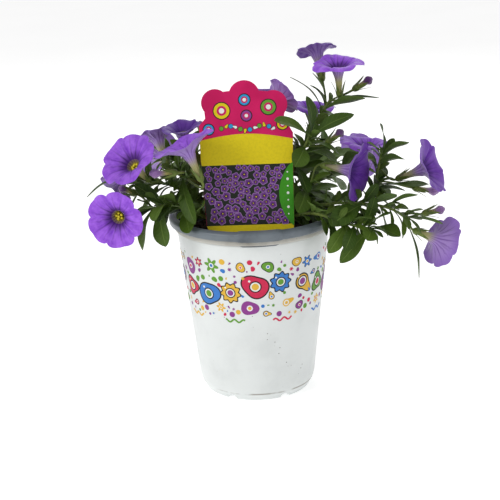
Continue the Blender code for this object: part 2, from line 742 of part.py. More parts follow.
def shoots(name):
    """Solids of one leafy stem without its leaves: its main shoot, and the stalks of its blooms and buds."""
    solids = [tube(stem_curve(name, 2), stem_radius(0), stem_radius(1), 5)]
    for stem, share, throat, facing, _, turn in BLOOMS.values():
        if stem == name:
            frame = flower_frame(facing, turn)
            foot = Vector(throat) * MM - frame.col[2] * TUBE_LENGTH
            solids.append(stalk_with_calyx(stalk_curve(stem, share, foot, frame.col[2], 3), foot, frame))
    for stem, share, foot, facing, _ in BUDS.values():
        if stem == name:
            frame = flower_frame(facing, 0)
            foot = Vector(foot) * MM
            solids.append(stalk_with_calyx(stalk_curve(stem, share, foot, frame.col[2], 3), foot, frame))
    return solids


def build_leafy_stem(name, leaves):
    """One leafy stem: its main shoot, the stalks of its blooms and buds with their calyces, and its leaves."""
    solids = shoots(name) + [leaf_solid(leaf) for leaf in leaves]
    return fused("leafy_stem_" + name, solids, (0.08, 0.20, 0.03), 0.5)


def bloom_solid(name):
    """One corolla: a slim tube, a throat and a limb of five notched lobes, thin all over."""
    _, _, throat, facing, width, turn = BLOOMS[name]
    width *= MM
    frame = flower_frame(facing, turn)
    foot = Vector(throat) * MM - frame.col[2] * TUBE_LENGTH
    top = TUBE_LENGTH / MM
    half = PETAL_THICK / 2 / MM
    rings = [
        frame_ring(foot, frame, (1.3,), (0,), TUBE_SIDES),
        frame_ring(foot, frame, (2.2,), (8.5,), TUBE_SIDES),
        frame_ring(foot, frame, (4.4 + half,), (top - half,), TUBE_SIDES),
    ]
    for share, below, count in ((0.5, half, 2), (1.0, half, 4), (1.0, -half, 4), (0.5, -half, 2)):
        ring = []
        for k in range(count * LOBES):
            angle = math.tau * k / (count * LOBES)
            ring.append(foot + frame @ limb_point(share, width, angle, below * MM))
        rings.append(ring)
    rings.append(frame_ring(foot, frame, (4.4 - half,), (top + half,), TUBE_SIDES))
    rings.append(frame_ring(foot, frame, (1.3,), (top - 6,), TUBE_SIDES))
    return joined_rings(rings)


def build_bloom(name):
    points, faces = bloom_solid(name)
    return mesh_object("bloom_" + name, points, outward(points, faces), (0.28, 0.09, 0.62), 0.5)


def bud_solid(name):
    """A closed corolla, slim at its foot and swollen near its rolled tip."""
    _, _, foot, facing, length = BUDS[name]
    frame = flower_frame(facing, 0)
    foot = Vector(foot) * MM
    rings = []
    for share, radius in ((0.0, 1.2), (0.35, 1.6), (0.68, 2.7), (0.9, 2.2), (1.0, 0.9)):
        rings.append(frame_ring(foot, frame, (radius,), (length * share,), 7))
    return rings_solid(rings)


def build_bud(name):
    points, faces = bud_solid(name)
    return mesh_object("bud_" + name, points, outward(points, faces), (0.30, 0.12, 0.42), 0.5)


def main():
    for obj in list(bpy.data.objects):
        bpy.data.objects.remove(obj)
    build_pot()
    build_soil()
    build_tag()
    for name in BLOOMS:
        build_bloom(name)
    for name in BUDS:
        build_bud(name)
    for name, leaves in plant_layout().items():
        build_leafy_stem(name, leaves)


main()
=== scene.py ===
"""A calibrachoa in bloom in its nursery pot with a plant tag: how it looks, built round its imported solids."""

import json
import math
import random

import bpy
from mathutils import Euler, Matrix, Vector, noise
from mathutils.kdtree import KDTree

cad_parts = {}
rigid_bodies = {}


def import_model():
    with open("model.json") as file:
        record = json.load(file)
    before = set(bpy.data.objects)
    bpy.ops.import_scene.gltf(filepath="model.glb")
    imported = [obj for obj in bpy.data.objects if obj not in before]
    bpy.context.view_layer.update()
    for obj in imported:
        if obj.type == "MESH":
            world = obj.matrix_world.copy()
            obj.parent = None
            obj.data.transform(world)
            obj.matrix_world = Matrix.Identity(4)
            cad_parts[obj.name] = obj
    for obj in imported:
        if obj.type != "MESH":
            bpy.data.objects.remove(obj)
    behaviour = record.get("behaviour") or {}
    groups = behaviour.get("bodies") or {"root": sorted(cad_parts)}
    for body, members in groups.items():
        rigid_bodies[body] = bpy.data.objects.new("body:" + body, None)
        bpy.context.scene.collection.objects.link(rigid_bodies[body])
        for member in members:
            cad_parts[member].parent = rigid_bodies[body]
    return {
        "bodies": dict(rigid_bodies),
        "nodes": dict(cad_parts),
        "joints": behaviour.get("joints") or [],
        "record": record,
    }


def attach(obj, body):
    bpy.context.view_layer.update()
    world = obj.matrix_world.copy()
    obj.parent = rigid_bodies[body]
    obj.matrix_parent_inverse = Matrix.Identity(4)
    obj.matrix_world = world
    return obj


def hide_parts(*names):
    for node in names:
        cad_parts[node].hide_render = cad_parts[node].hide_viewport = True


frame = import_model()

MM = 0.001

# Pot
POT_HEIGHT = 120 * MM
WALL_TOP_RADIUS = 50 * MM
WALL_FOOT_RADIUS = 39 * MM
WALL = 1.1 * MM
FOOT_LIFT = 2.6 * MM
FEET = 6
LATHE_SIDES = 180

# Soil
SOIL_TOP = 107 * MM
ROOT_DEPTH = 8 * MM

# Plant tag, in its own plane: across, and up from the soil
TAG_FOOT = Vector((-1 * MM, -36.5 * MM, SOIL_TOP))
TAG_LEAN = math.radians(15)
TAG_PLANE = Matrix.Translation(TAG_FOOT) @ Matrix.Rotation(-TAG_LEAN, 4, "X")
TAG_STAKE_DEPTH = 24 * MM
TAG_STAKE_HALF = 8 * MM
TAG_LEFT = ((-25, 2), (-28.2, 13), (-30.6, 52), (-31, 76), (-27, 80.5))
TAG_LOBES = ((-20.6, 90.2, 8.6, 218, 52), (-2.0, 94.0, 9.8, 160, 18), (16.2, 88.2, 8.8, 112, -38))
TAG_RIGHT = ((22.5, 80), (28, 70), (27.4, 52), (27, 12), (25, 2))

# Leaves
LEAF_THICK = 0.7 * MM
LEAF_STATIONS = (0.0, 0.44, 0.86)
SMALL_LEAF = 18 * MM
SMALL_LEAF_STATIONS = (0.0, 0.66)
LEAF_LEAN = 0.8
LEAF_ROOT = 0.4 * MM
LEAF_TRIES = 40
LEAF_BENDS = (0.35, 0.2, 0.5, 0.0, 0.7, -0.2)
GOLDEN_ANGLE = math.radians(137.5)
CORNER_REACH = 0.05 * MM

# Blooms
LOBES = 5
FUNNEL_DEPTH = 0.23
TUBE_LENGTH = 16 * MM
SEPALS = 5
BUD_SIDES = 40
STALK_RADIUS = 0.7 * MM

# Each leafy stem: its route in mm from just above the soil, its leaves' length, and their spacing.
STEMS = {
    "left_low": (((-17, -6, 110), (-34, -10, 130), (-54, -14, 143), (-72, -18, 143)), 24, 6),
    "left_mid": (((-10, -3, 110), (-24, -10, 134), (-40, -18, 147), (-50, -24, 153)), 23, 6),
    "left_high": (((-6, 6, 110), (-16, 4, 132), (-26, -4, 148)), 22, 7),
    "left_back": (((-14, 8, 110), (-34, 22, 134), (-48, 24, 148), (-56, 18, 153)), 24, 9),
    "left_droop": (((-19, -14, 110), (-36, -27, 127), (-50, -32, 134), (-64, -34, 132)), 26, 6),
    "top": (((8, 6, 110), (24, 10, 142), (40, 13, 168), (53, 15, 189)), 22, 9),
    "centre": (((4, -5, 110), (18, -8, 136), (30, -14, 156), (38, -18, 173)), 24, 7),
    "behind_tag": (((-1, 13, 110), (1, 16, 138), (4, 16, 160)), 24, 8),
    "right_mid": (((13, -5, 110), (28, -14, 128), (38, -22, 144)), 24, 6),
    "right_behind": (((15, 5, 110), (36, 14, 130), (58, 20, 138), (70, 20, 143)), 24, 8),
    "right_far": (
        ((19, -1, 110), (40, -6, 122), (61, -11, 123), (76, -13, 131), (81, -12, 147), (84, -11, 160)), 22, 7,
    ),
    "right_low": (((16, -12, 110), (42, -21, 127), (66, -26, 129), (86, -28, 126), (99, -30, 118)), 22, 8),
    "right_front": (((9, -15, 110), (34, -31, 125), (52, -38, 122), (66, -38, 117), (75, -36, 115)), 24, 7),
    "back_left": (((-10, 18, 110), (-25, 37, 131), (-42, 57, 142), (-53, 70, 137)), 26, 11),
    "back_mid": (((5, 21, 110), (10, 40, 142), (12, 58, 160)), 25, 10),
    "back_right": (((13, 15, 110), (34, 42, 130), (52, 62, 138), (62, 74, 132)), 25, 10),
}

# Each bloom: its stem, how far along the stem its stalk leaves, its throat in mm, where it faces,
# its width in mm, and its turn.
BLOOMS = {
    "low_left": ("left_low", 0.90, (-84, -39, 129), (-0.28, -0.95, -0.05), 37, -4),
    "behind_left": ("left_low", 0.90, (-85, -8, 143), (-0.60, -0.10, -0.79), 24, 30),
    "upper_left": ("left_mid", 0.94, (-73, -36, 161), (-0.45, -0.55, 0.70), 38, 20),
    "front_left": ("left_mid", 0.66, (-38, -42, 168), (-0.39, 0.05, 0.92), 40, 14),
    "dark_left": ("left_high", 0.95, (-43, -8, 174), (-0.10, -0.12, 0.99), 26, 40),
    "pale_left": ("left_back", 0.92, (-60, 13, 166), (-0.30, 0.45, 0.84), 25, 0),
    "top_front": ("top", 0.97, (58, 8, 209), (-0.05, -0.15, 0.98), 34, 10),
    "top_back": ("top", 0.86, (46, 32, 216), (-0.15, 0.40, 0.90), 27, 25),
    "behind_tag": ("behind_tag", 0.95, (19, 17, 189), (0.74, 0.48, 0.46), 27, 0),
    "mid_right": ("back_mid", 0.80, (43, 44, 175), (0.10, -0.06, 0.99), 31, 33),
    "right_middle": ("right_mid", 0.97, (61, -27, 151), (0.89, -0.42, -0.12), 37, 12),
    "right_behind": ("right_behind", 0.95, (77, 20, 153), (0.10, -0.02, 0.99), 37, 28),
    "far_right": ("right_far", 0.80, (109, -15, 147), (0.86, -0.33, 0.40), 37, 5),
    "low_right": ("right_low", 0.97, (116, -26, 104), (0.80, 0.40, -0.45), 34, 22),
    "far_left_back": ("back_left", 0.95, (-65, 84, 139), (-0.50, 0.80, 0.33), 35, 9),
    "up_back": ("back_mid", 0.97, (10, 76, 170), (-0.05, 0.82, 0.57), 35, 27),
    "far_right_back": ("back_right", 0.95, (76, 90, 132), (0.62, 0.76, 0.18), 34, 17),
}

# Each bud: its stem, how far along its stalk leaves, its foot in mm, where it points, and its length in mm.
BUDS = {
    "front_left": ("left_mid", 0.80, (-48, -43, 157), (-0.97, -0.20, 0.05), 15),
    "low_left": ("left_droop", 0.90, (-75, -26, 141), (-0.90, -0.10, 0.42), 10),
    "top": ("top", 0.93, (70, 14, 196), (0.86, 0.05, 0.50), 12),
    "centre": ("centre", 0.80, (50, -16, 168), (0.80, 0.10, 0.55), 11),
    "right_far": ("right_far", 0.66, (107, -4, 132), (0.95, 0.05, -0.20), 15),
    "right_low": ("right_low", 0.86, (112, -14, 118), (0.92, 0.25, 0.10), 13),
    "back": ("back_left", 0.70, (-32, 66, 156), (-0.20, 0.60, 0.75), 13),
    "back_right": ("back_right", 0.70, (44, 74, 148), (0.30, 0.70, 0.60), 13),
}

# Leaves placed one by one: stem, how far along it, where the tip is in mm, and width in mm.
SHOWN_LEAVES = (
    ("left_mid", 0.78, (-36, -45, 124), 10),
    ("left_droop", 0.84, (-55, -44, 110), 14),
    ("left_droop", 0.97, (-70, -40, 107), 10),
    ("left_droop", 0.70, (-62, -36, 118), 11),
    ("left_droop", 0.55, (-40, -46, 119), 11),
    ("left_droop", 0.62, (-58, -42, 142), 10),
    ("left_low", 0.97, (-105, -22, 138), 6),
    ("left_low", 0.66, (-70, -26, 128), 11),
    ("left_high", 0.94, (-52, 4, 168), 9),
    ("centre", 0.97, (15, -30, 185), 12),
    ("centre", 0.98, (36, -16, 197), 11),
    ("centre", 0.94, (66, -14, 184), 11),
    ("centre", 0.90, (55, -30, 162), 12),
    ("centre", 0.84, (27, -34, 156), 12),
    ("centre", 0.62, (35, -30, 138), 10),
    ("top", 0.88, (27, 10, 205), 5),
    ("top", 0.94, (42, 18, 206), 7),
    ("top", 0.95, (40, 12, 199), 7),
    ("top", 0.97, (84, 8, 190), 6),
    ("top", 0.91, (74, -3, 192), 10),
    ("right_mid", 0.80, (28, -40, 128), 12),
    ("right_low", 0.56, (48, -44, 120), 14),
    ("right_front", 0.62, (46, -50, 104), 10),
    ("right_front", 0.70, (56, -52, 106), 10),
    ("right_front", 0.95, (53, -52, 98), 10),
    ("right_front", 0.98, (92, -42, 111), 14),
    ("right_front", 0.97, (70, -52, 112), 11),
    ("right_front", 0.90, (86, -44, 127), 9),
    ("right_far", 0.97, (82, -16, 178), 10),
    ("right_far", 0.92, (100, -20, 166), 9),
    ("right_far", 0.86, (95, -30, 158), 10),
    ("right_far", 0.70, (112, -22, 139), 11),
    ("right_far", 0.62, (96, -32, 138), 10),
    ("right_low", 0.93, (106, -26, 78), 5),
    ("right_low", 0.80, (96, -20, 103), 5),
    ("right_low", 0.92, (108, -38, 122), 6),
    ("right_low", 0.95, (119, -38, 117), 5),
    ("right_low", 0.90, (105, -42, 112), 6),
)

# Camera, fitted to the photograph of 500 by 500 pixels
PHOTO_PIXELS = 500
CAMERA_PLACE = Vector((-0.00256, -0.8, 0.336))
CAMERA_TARGET = Vector((-0.00256, 0, 0.0927))
CAMERA_FOCAL = 1263
CAMERA_ROLL = 0.034

# Lights
WORLD_LIGHT = 0.55
KEY_LIGHT = 7.2
FLOOR_GLOW = 0.46

# Detail of the looks
COROLLA_SIDES = 100
COROLLA_ROWS = 16
FILLER_SPACING = 4.2 * MM
FILM = 0.03 * MM
BAND_RADIUS = 46.5 * MM
CURL = {
    "top_front": 3.0, "top_back": 2.0, "low_left": 1.2,
    "upper_left": 0.8, "right_behind": 2.5, "mid_right": 2.0,
}
# How far each listed bloom's colour is darkened: painted shade for blooms that sit in shadow or are seen on
# their shaded side
SHADED = {
    "dark_left": 1.0, "top_back": 1.0, "far_right": 0.6, "right_middle": 0.75,
    "behind_left": 0.8, "mid_right": 0.3, "right_behind": 0.2,
}
PALE_BUDS = {"front_left": 0.7, "right_far": 1.0, "right_low": 0.8, "top": 0.0}
INKS = {
    "black": (0.012, 0.012, 0.014, 1),
    "white": (0.82, 0.82, 0.80, 1),
    "pink": (0.62, 0.025, 0.085, 1),
    "blue": (0.045, 0.20, 0.58, 1),
    "green": (0.13, 0.33, 0.035, 1),
    "yellow": (0.76, 0.46, 0.055, 1),
    "purple": (0.27, 0.05, 0.27, 1),
    "tagyellow": (0.72, 0.58, 0.01, 1),
    "tagblue": (0.03, 0.30, 0.60, 1),
    "tagpink": (0.58, 0.012, 0.115, 1),
    "tagdark": (0.016, 0.022, 0.014, 1),
    "lilac": (0.36, 0.20, 0.46, 1),
    "bloompurple": (0.15, 0.045, 0.24, 1),
    "plum": (0.035, 0.008, 0.06, 1),
    "tab": (0.045, 0.27, 0.012, 1),
}


# The same layout as in the part's source


def catmull(points, steps):
    """A smooth curve through the points, with this many steps between each two. It sets off half upwards."""
    before = points[0] - Vector((0, 0, (points[1] - points[0]).length))
    ends = [before, *points, 2 * points[-1] - points[-2]]
    curve = []
    for a, b, c, d in zip(ends, ends[1:], ends[2:], ends[3:]):
        for k in range(steps):
            t = k / steps
            low_powers = 2 * b + (c - a) * t + (2 * a - 5 * b + 4 * c - d) * t * t
            curve.append(0.5 * (low_powers + (3 * b - a - 3 * c + d) * t**3))
    return [*curve, points[-1].copy()]


def along(curve, share):
    """The point at this share of the curve, and the curve's direction there."""
    place = share * (len(curve) - 1)
    i = min(int(place), len(curve) - 2)
    step = curve[i + 1] - curve[i]
    return curve[i] + step * (place - i), step.normalized()


def stem_curve(name, steps):
    """A leafy stem's route: straight up out of its hole in the soil, then through its points."""
    points = [Vector(p) * MM for p in STEMS[name][0]]
    root = Vector((points[0].x, points[0].y, SOIL_TOP - ROOT_DEPTH))
    return [root, *catmull(points, steps)]


def flower_frame(facing, turn):
    """Three axes of a bloom, as columns: the third is where it faces."""
    z = Vector(facing).normalized()
    x = z.cross(Vector((0, 0, 1))).normalized()
    y = z.cross(x)
    cosine, sine = math.cos(math.radians(turn)), math.sin(math.radians(turn))
    return Matrix((x * cosine + y * sine, y * cosine - x * sine, z)).transposed()


def stalk_curve(stem, share, foot, facing, steps):
    """A thin stalk from the stem to the foot of a bloom or bud, arriving the way that it faces."""
    start, lead = along(stem_curve(stem, 8), share)
    end = foot - facing * 2.6 * MM
    reach = (end - start).length
    a = start + lead * reach * 0.35
    b = end - facing * reach * 0.45
    return [
        start * (1 - t) ** 3 + a * 3 * t * (1 - t) ** 2 + b * 3 * t * t * (1 - t) + end * t**3
        for t in (k / steps for k in range(steps + 1))
    ]


def lobe(angle):
    """How far the limb reaches at an angle: five rounded lobes, each a little notched."""
    phase = (angle * LOBES / math.tau) % 1.0
    between = min(phase, 1 - phase)
    notch = 0.025 * math.exp(-(((phase - 0.5) / 0.07) ** 2))
    return 0.83 + 0.17 * math.sin(math.pi * min(0.5, between * 1.9)) ** 0.7 - notch


def limb_height(share, width, angle):
    """Height above the throat of the limb: a funnel that opens out flat, waved at its edge."""
    wave = math.cos(angle * LOBES) * 0.02 * width * share**2
    return FUNNEL_DEPTH * width * share**0.68 + wave


def limb_point(share, width, angle, below):
    """A point of the limb, from 0 at the throat to 1 at its edge, in the bloom's own frame."""
    throat = 4.2 * MM
    reach = 1 - (1 - lobe(angle)) * share**2
    radius = throat + (width / 2 - throat) * share * reach
    height = TUBE_LENGTH + limb_height(share, width, angle) - below
    return Vector((radius * math.cos(angle), radius * math.sin(angle), height))


def leaf_pose(base, tip, width, bend):
    """A leaf from its base to its tip, as a dictionary. Its face leans up and outwards."""
    heading = (tip - base).normalized()
    outwards = Vector((base.x, base.y, 0)).normalized() * LEAF_LEAN
    side = heading.cross(Vector((0, 0, 1)) + outwards)
    side = side.normalized() if side.length > 0.05 else heading.cross(Vector((0, 1, 0))).normalized()
    length = (tip - base).length
    return {"base": base, "heading": heading, "side": side, "length": length, "width": width, "bend": bend}


def leaf_centre(leaf, t):
    """A point on the midrib and the direction there. The blade starts above its heading and droops."""
    up = leaf["side"].cross(leaf["heading"])
    bend = leaf["bend"]
    angle = bend * (1 - 2 * t)
    direction = leaf["heading"] * math.cos(angle) + up * math.sin(angle)
    rise = math.sin(math.pi * t) * leaf["length"] * bend / math.pi
    return leaf["base"] + leaf["heading"] * (leaf["length"] * t) + up * rise, direction


def leaf_half_width(leaf, t):
    """Half the blade's width: a narrow foot, widest well past the middle, and a blunt tip."""
    shape = max(0.0, math.sin(math.pi * min(1.0, t) ** 1.6)) ** 0.75
    return max(LEAF_ROOT * (1 - t), leaf["width"] / 2 * shape)


def wall_radius(height):
    """Outer radius of the tapered wall at a height."""
    low, high = 12 * MM, 110 * MM
    return WALL_FOOT_RADIUS + (WALL_TOP_RADIUS - WALL_FOOT_RADIUS) * (height - low) / (high - low)


def soil_height(x, y):
    """The uneven top of the soil."""
    bumps = math.sin(x * 310 + 1.3) * math.cos(y * 270) + 0.6 * math.sin(x * 520 + y * 610)
    dip = 1.6 * MM * (math.hypot(x, y) / (48 * MM)) ** 2
    return SOIL_TOP + bumps * 0.8 * MM - dip


def stem_radius(share):
    """Stems taper from their foot to their tip."""
    return (1.25 - 0.45 * share) * MM


def packed_leaves(name):
    """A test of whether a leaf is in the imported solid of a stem: a corner of its blade is there."""
    corners = frame["nodes"]["leafy_stem_" + name].data.vertices
    tree = KDTree(len(corners))
    for k, corner in enumerate(corners):
        tree.insert(corner.co, k)
    tree.balance()

    def packed(leaf):
        t = (SMALL_LEAF_STATIONS if leaf["length"] < SMALL_LEAF else LEAF_STATIONS)[-1]
        centre, direction = leaf_centre(leaf, t)
        normal = leaf["side"].cross(direction).normalized()
        corner = centre + leaf["side"] * leaf_half_width(leaf, t) + normal * LEAF_THICK / 2
        return tree.find(corner)[2] < CORNER_REACH

    return packed


def shown_leaves(name, packed):
    """The leaves of one stem that are placed one by one, each with the bend that it has in the solid."""
    found = []
    for stem, share, tip, width in SHOWN_LEAVES:
        if stem == name:
            base, _ = along(stem_curve(stem, 8), share)
            bent = (leaf_pose(base, Vector(tip) * MM, width * MM, bend) for bend in LEAF_BENDS)
            found += [leaf for leaf in bent if packed(leaf)][:1]
    return found


def leaves_by_rule(name, length, spacing, packed):
    """Leaves up one stem, then a tuft of small ones at its tip, by the same draws as in the part."""
    draw = random.Random("leaves of " + name)
    curve = stem_curve(name, 8)
    reach = sum((b - a).length for a, b in zip(curve, curve[1:]))
    count = int(reach * 0.86 / spacing)
    tuft = 4
    found = []
    turn = draw.uniform(0, math.tau)
    for k in range(count + tuft):
        in_tuft = k >= count
        share = 0.91 + 0.017 * (k - count) if in_tuft else 0.16 + 0.72 * k / count
        smaller = 1.0 if share < 0.8 else 0.85
        size = draw.uniform(0.4, 0.65) if in_tuft else draw.uniform(0.75, 1.15) * smaller
        base, lead = along(curve, share)
        across = lead.cross(Vector((0.3, 0.2, 1))).normalized()
        other = lead.cross(across)
        turn += GOLDEN_ANGLE
        for attempt in range(LEAF_TRIES):
            angle = turn + math.radians(21 * attempt)
            opening = math.radians(draw.uniform(20, 62) if in_tuft else draw.uniform(38, 82))
            out = across * math.cos(angle) + other * math.sin(angle)
            heading = (lead * math.cos(opening) + out * math.sin(opening) + Vector((0, 0, 0.08))).normalized()
            long = length * size * (1 - 0.012 * attempt)
            wide = long * draw.uniform(0.36, 0.48)
            leaf = leaf_pose(base, base + heading * long, wide, draw.uniform(0.1, 0.6))
            if packed(leaf):
                found.append(leaf)
                break
    return found


def plant_layout():
    """Every leaf of every leafy stem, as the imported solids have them."""
    leaves = {}
    for name, (_, length, spacing) in STEMS.items():
        packed = packed_leaves(name)
        leaves[name] = shown_leaves(name, packed) + leaves_by_rule(name, length * MM, spacing * MM, packed)
    return leaves


# Looks: small helpers


def colour(red, green, blue):
    """Linear colour from the 0 to 255 numbers of a screen."""
    shares = [c / 255 for c in (red, green, blue)]
    return (*(((c + 0.055) / 1.055) ** 2.4 if c > 0.04 else c / 12.92 for c in shares), 1)


def polar(radius, angle, height=0.0):
    """A point by its distance from the axis, its angle round it and its height."""
    return Vector((radius * math.cos(angle), radius * math.sin(angle), height))


def turns(count):
    """Angles once round, in equal steps."""
    return [math.tau * k / count for k in range(count)]


class Look:
    """A material in the making: its node tree, and short ways to add nodes to it."""

    def __init__(self, name, **constants):
        self.material = bpy.data.materials.new(name)
        self.material.use_nodes = True
        self.tree = self.material.node_tree
        self.shader = self.tree.nodes["Principled BSDF"]
        for socket, value in constants.items():
            self.shader.inputs[socket.replace("_", " ")].default_value = value

    def put(self, value, socket):
        if isinstance(value, bpy.types.NodeSocket):
            self.tree.links.new(value, socket)
        else:
            socket.default_value = value

    def add(self, kind, output=0, inputs=None, **settings):
        node = self.tree.nodes.new("ShaderNode" + kind)
        for name, value in settings.items():
            setattr(node, name, value)
        for key, value in (inputs or {}).items():
            self.put(value, node.inputs[key])
        return node.outputs[output]

    def math(self, operation, a, b=0.0, clamp=False):
        return self.add("Math", 0, {0: a, 1: b}, operation=operation, use_clamp=clamp)

    def plus(self, a, b, clamp=False):
        return self.math("ADD", a, b, clamp)

    def minus(self, a, b, clamp=False):
        return self.math("SUBTRACT", a, b, clamp)

    def times(self, a, b):
        return self.math("MULTIPLY", a, b)

    def mix(self, factor, a, b):
        return self.add("Mix", 2, {0: factor, 6: a, 7: b}, data_type="RGBA", clamp_factor=True)

    def ramp(self, value, low, high, to_low=0.0, to_high=1.0):
        inputs = {0: value, 1: low, 2: high, 3: to_low, 4: to_high}
        return self.add("MapRange", 0, inputs, interpolation_type="SMOOTHSTEP")

    def noise(self, vector, scale, detail=3.0, roughness=0.5):
        inputs = {"Vector": vector, "Scale": scale, "Detail": detail, "Roughness": roughness}
        return self.add("TexNoise", 0, inputs)

    def attribute(self, name):
        """The three numbers of a vector attribute, and the vector."""
        vector = self.add("Attribute", 1, attribute_name=name)
        node = self.tree.nodes.new("ShaderNodeSeparateXYZ")
        self.tree.links.new(vector, node.inputs[0])
        return (*node.outputs, vector)

    def place(self):
        """Where a point is on the object, in metres."""
        return self.add("TexCoord", 3)

    def finish(self, base=None, roughness=None, height=None, strength=0.3, distance=0.2 * MM):
        if base is not None:
            self.put(base, self.shader.inputs["Base Color"])
        if roughness is not None:
            self.put(roughness, self.shader.inputs["Roughness"])
        if height is not None:
            normal = self.add("Bump", 0, {"Strength": strength, "Distance": distance, "Height": height})
            self.tree.links.new(normal, self.shader.inputs["Normal"])
        return self.material


def piece(name, points, faces, material, stands_for=(), vectors=None, sharp=40):
    """A named mesh on the pot. vectors holds three numbers for each point, by name, for its material."""
    mesh = bpy.data.meshes.new(name)
    mesh.from_pydata([tuple(p) for p in points], [], faces)
    for key, rows in (vectors or {}).items():
        flat = [float(number) for row in rows for number in row]
        mesh.attributes.new(key, "FLOAT_VECTOR", "POINT").data.foreach_set("vector", flat)
    mesh.materials.append(material)
    mesh.shade_smooth()
    mesh.set_sharp_from_angle(angle=math.radians(sharp))
    mesh.update()
    obj = bpy.data.objects.new(name, mesh)
    bpy.context.scene.collection.objects.link(obj)
    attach(obj, "root")
    if stands_for:
        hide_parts(*stands_for)
    return obj


class Mesh:
    """Points, faces and material vectors of several bodies that make one piece."""

    def __init__(self, *keys):
        self.points, self.faces = [], []
        self.vectors = {key: [] for key in keys}

    def take(self, points, faces, **vectors):
        first = len(self.points)
        self.points += points
        self.faces += [tuple(first + i for i in face) for face in faces]
        for key, rows in vectors.items():
            self.vectors[key] += rows

    def make(self, name, material, slot, stands_for=(), sharp=40):
        return piece(name, self.points, self.faces, material, stands_for, self.vectors, sharp)


def loops(rings, closed_start=True, closed_end=True):
    """Faces through rings of equal size, with flat ends."""
    count = len(rings[0])
    faces = []
    for i in range(len(rings) - 1):
        for k in range(count):
            a, b = i * count + k, i * count + (k + 1) % count
            faces.append((a, b, b + count, a + count))
    if closed_start:
        faces.append(tuple(range(count - 1, -1, -1)))
    if closed_end:
        faces.append(tuple(range((len(rings) - 1) * count, len(rings) * count)))
    return [p for ring in rings for p in ring], faces


def smooth_tube(curve, radii, sides):
    """A round tube along a curve, with a radius at each of its points."""
    axis = (curve[1] - curve[0]).normalized()
    across = axis.cross(Vector((0.31, 0.95, 0.1))).normalized()
    rings = []
    for i, centre in enumerate(curve):
        axis = (curve[min(i + 1, len(curve) - 1)] - curve[max(i - 1, 0)]).normalized()
        across = (across - axis * across.dot(axis)).normalized()
        other = axis.cross(across)
        rings.append([centre + (across * math.cos(a) + other * math.sin(a)) * radii[i] for a in turns(sides)])
    return loops(rings)


# Looks: materials


def vein_lines(look, angle, count, wobble, width):
    """Thin lines that run outwards, as many as count round the bloom."""
    turn = look.plus(look.times(angle, count / math.tau), wobble)
    off = look.math("ABSOLUTE", look.minus(look.math("FRACT", turn), 0.5))
    return look.minus(1.0, look.ramp(off, 0.0, width), clamp=True)


def petal_look():
    """Violet petals with branching dark veins, darker inwards, a yellow throat and a pale outside, and painted
    shade on the blooms listed in SHADED.
    """
    look = Look("petal", Roughness=0.5, Sheen_Weight=0.15, Sheen_Roughness=0.4, Specular_IOR_Level=0.3)
    x, y, share, where = look.attribute("petal")
    # shade is the bloom's painted shade from SHADED, or a small random darkening of tone for the other blooms
    tube, outside, shade, _ = look.attribute("zone")
    angle = look.math("ARCTAN2", y, x)
    mottle = look.noise(where, 3.2, 4.0)
    wobble = look.times(look.minus(look.noise(where, 5.0, 2.0), 0.5), 0.5)
    main = vein_lines(look, angle, 5, 0.0, look.ramp(share, 0.0, 1.0, 0.10, 0.022))
    branch = vein_lines(look, angle, 15, wobble, look.ramp(share, 0.0, 1.0, 0.28, 0.07))
    fine = vein_lines(look, angle, 45, look.times(wobble, 2.2), 0.22)
    fade = look.ramp(share, 0.2, 1.0, 1.0, 0.15)
    veins = look.times(look.math("MAXIMUM", main, look.times(branch, 0.7)), fade)
    veins = look.math("MAXIMUM", veins, look.times(fine, 0.16))
    light = look.mix(look.ramp(mottle, 0.3, 0.7), colour(134, 66, 205), colour(166, 100, 232))
    deep = colour(66, 12, 112)
    heart = look.ramp(share, 0.02, 0.40, 0.9, 0.0)
    dark = look.plus(heart, look.times(veins, 0.6), clamp=True)
    front = look.mix(dark, light, deep)
    # Painted shade: the face is darkened towards deep purple by the bloom's shade number
    front = look.mix(look.times(shade, 0.85), front, colour(66, 20, 124))
    yellow = look.mix(look.times(branch, 0.6), colour(206, 192, 40), colour(86, 60, 36))
    at_throat = look.ramp(share, 0.0, 0.02, 1.0, 0.0)
    inside = look.times(at_throat, look.ramp(tube, 0.80, 0.97, 1.0, 0.25))
    front = look.mix(inside, front, yellow)
    pale = look.mix(look.times(veins, 0.8), colour(160, 130, 198), colour(98, 56, 140))
    pale = look.mix(look.ramp(share, 0.25, 0.95, 0.0, 0.45), pale, colour(122, 70, 184))
    tubing = look.mix(look.times(branch, 0.35), colour(176, 174, 112), colour(128, 116, 92))
    back = look.mix(look.ramp(tube, 0.4, 0.96, 1.0, 0.0), pale, tubing)
    # Painted shade on the outside too, by the same shade number
    back = look.mix(look.times(shade, 0.6), back, look.mix(0.6, back, colour(70, 30, 120)))
    base = look.mix(outside, front, back)
    roughness = look.ramp(mottle, 0.2, 0.8, 0.42, 0.6)
    return look.finish(base, roughness, look.minus(mottle, veins), 0.35)


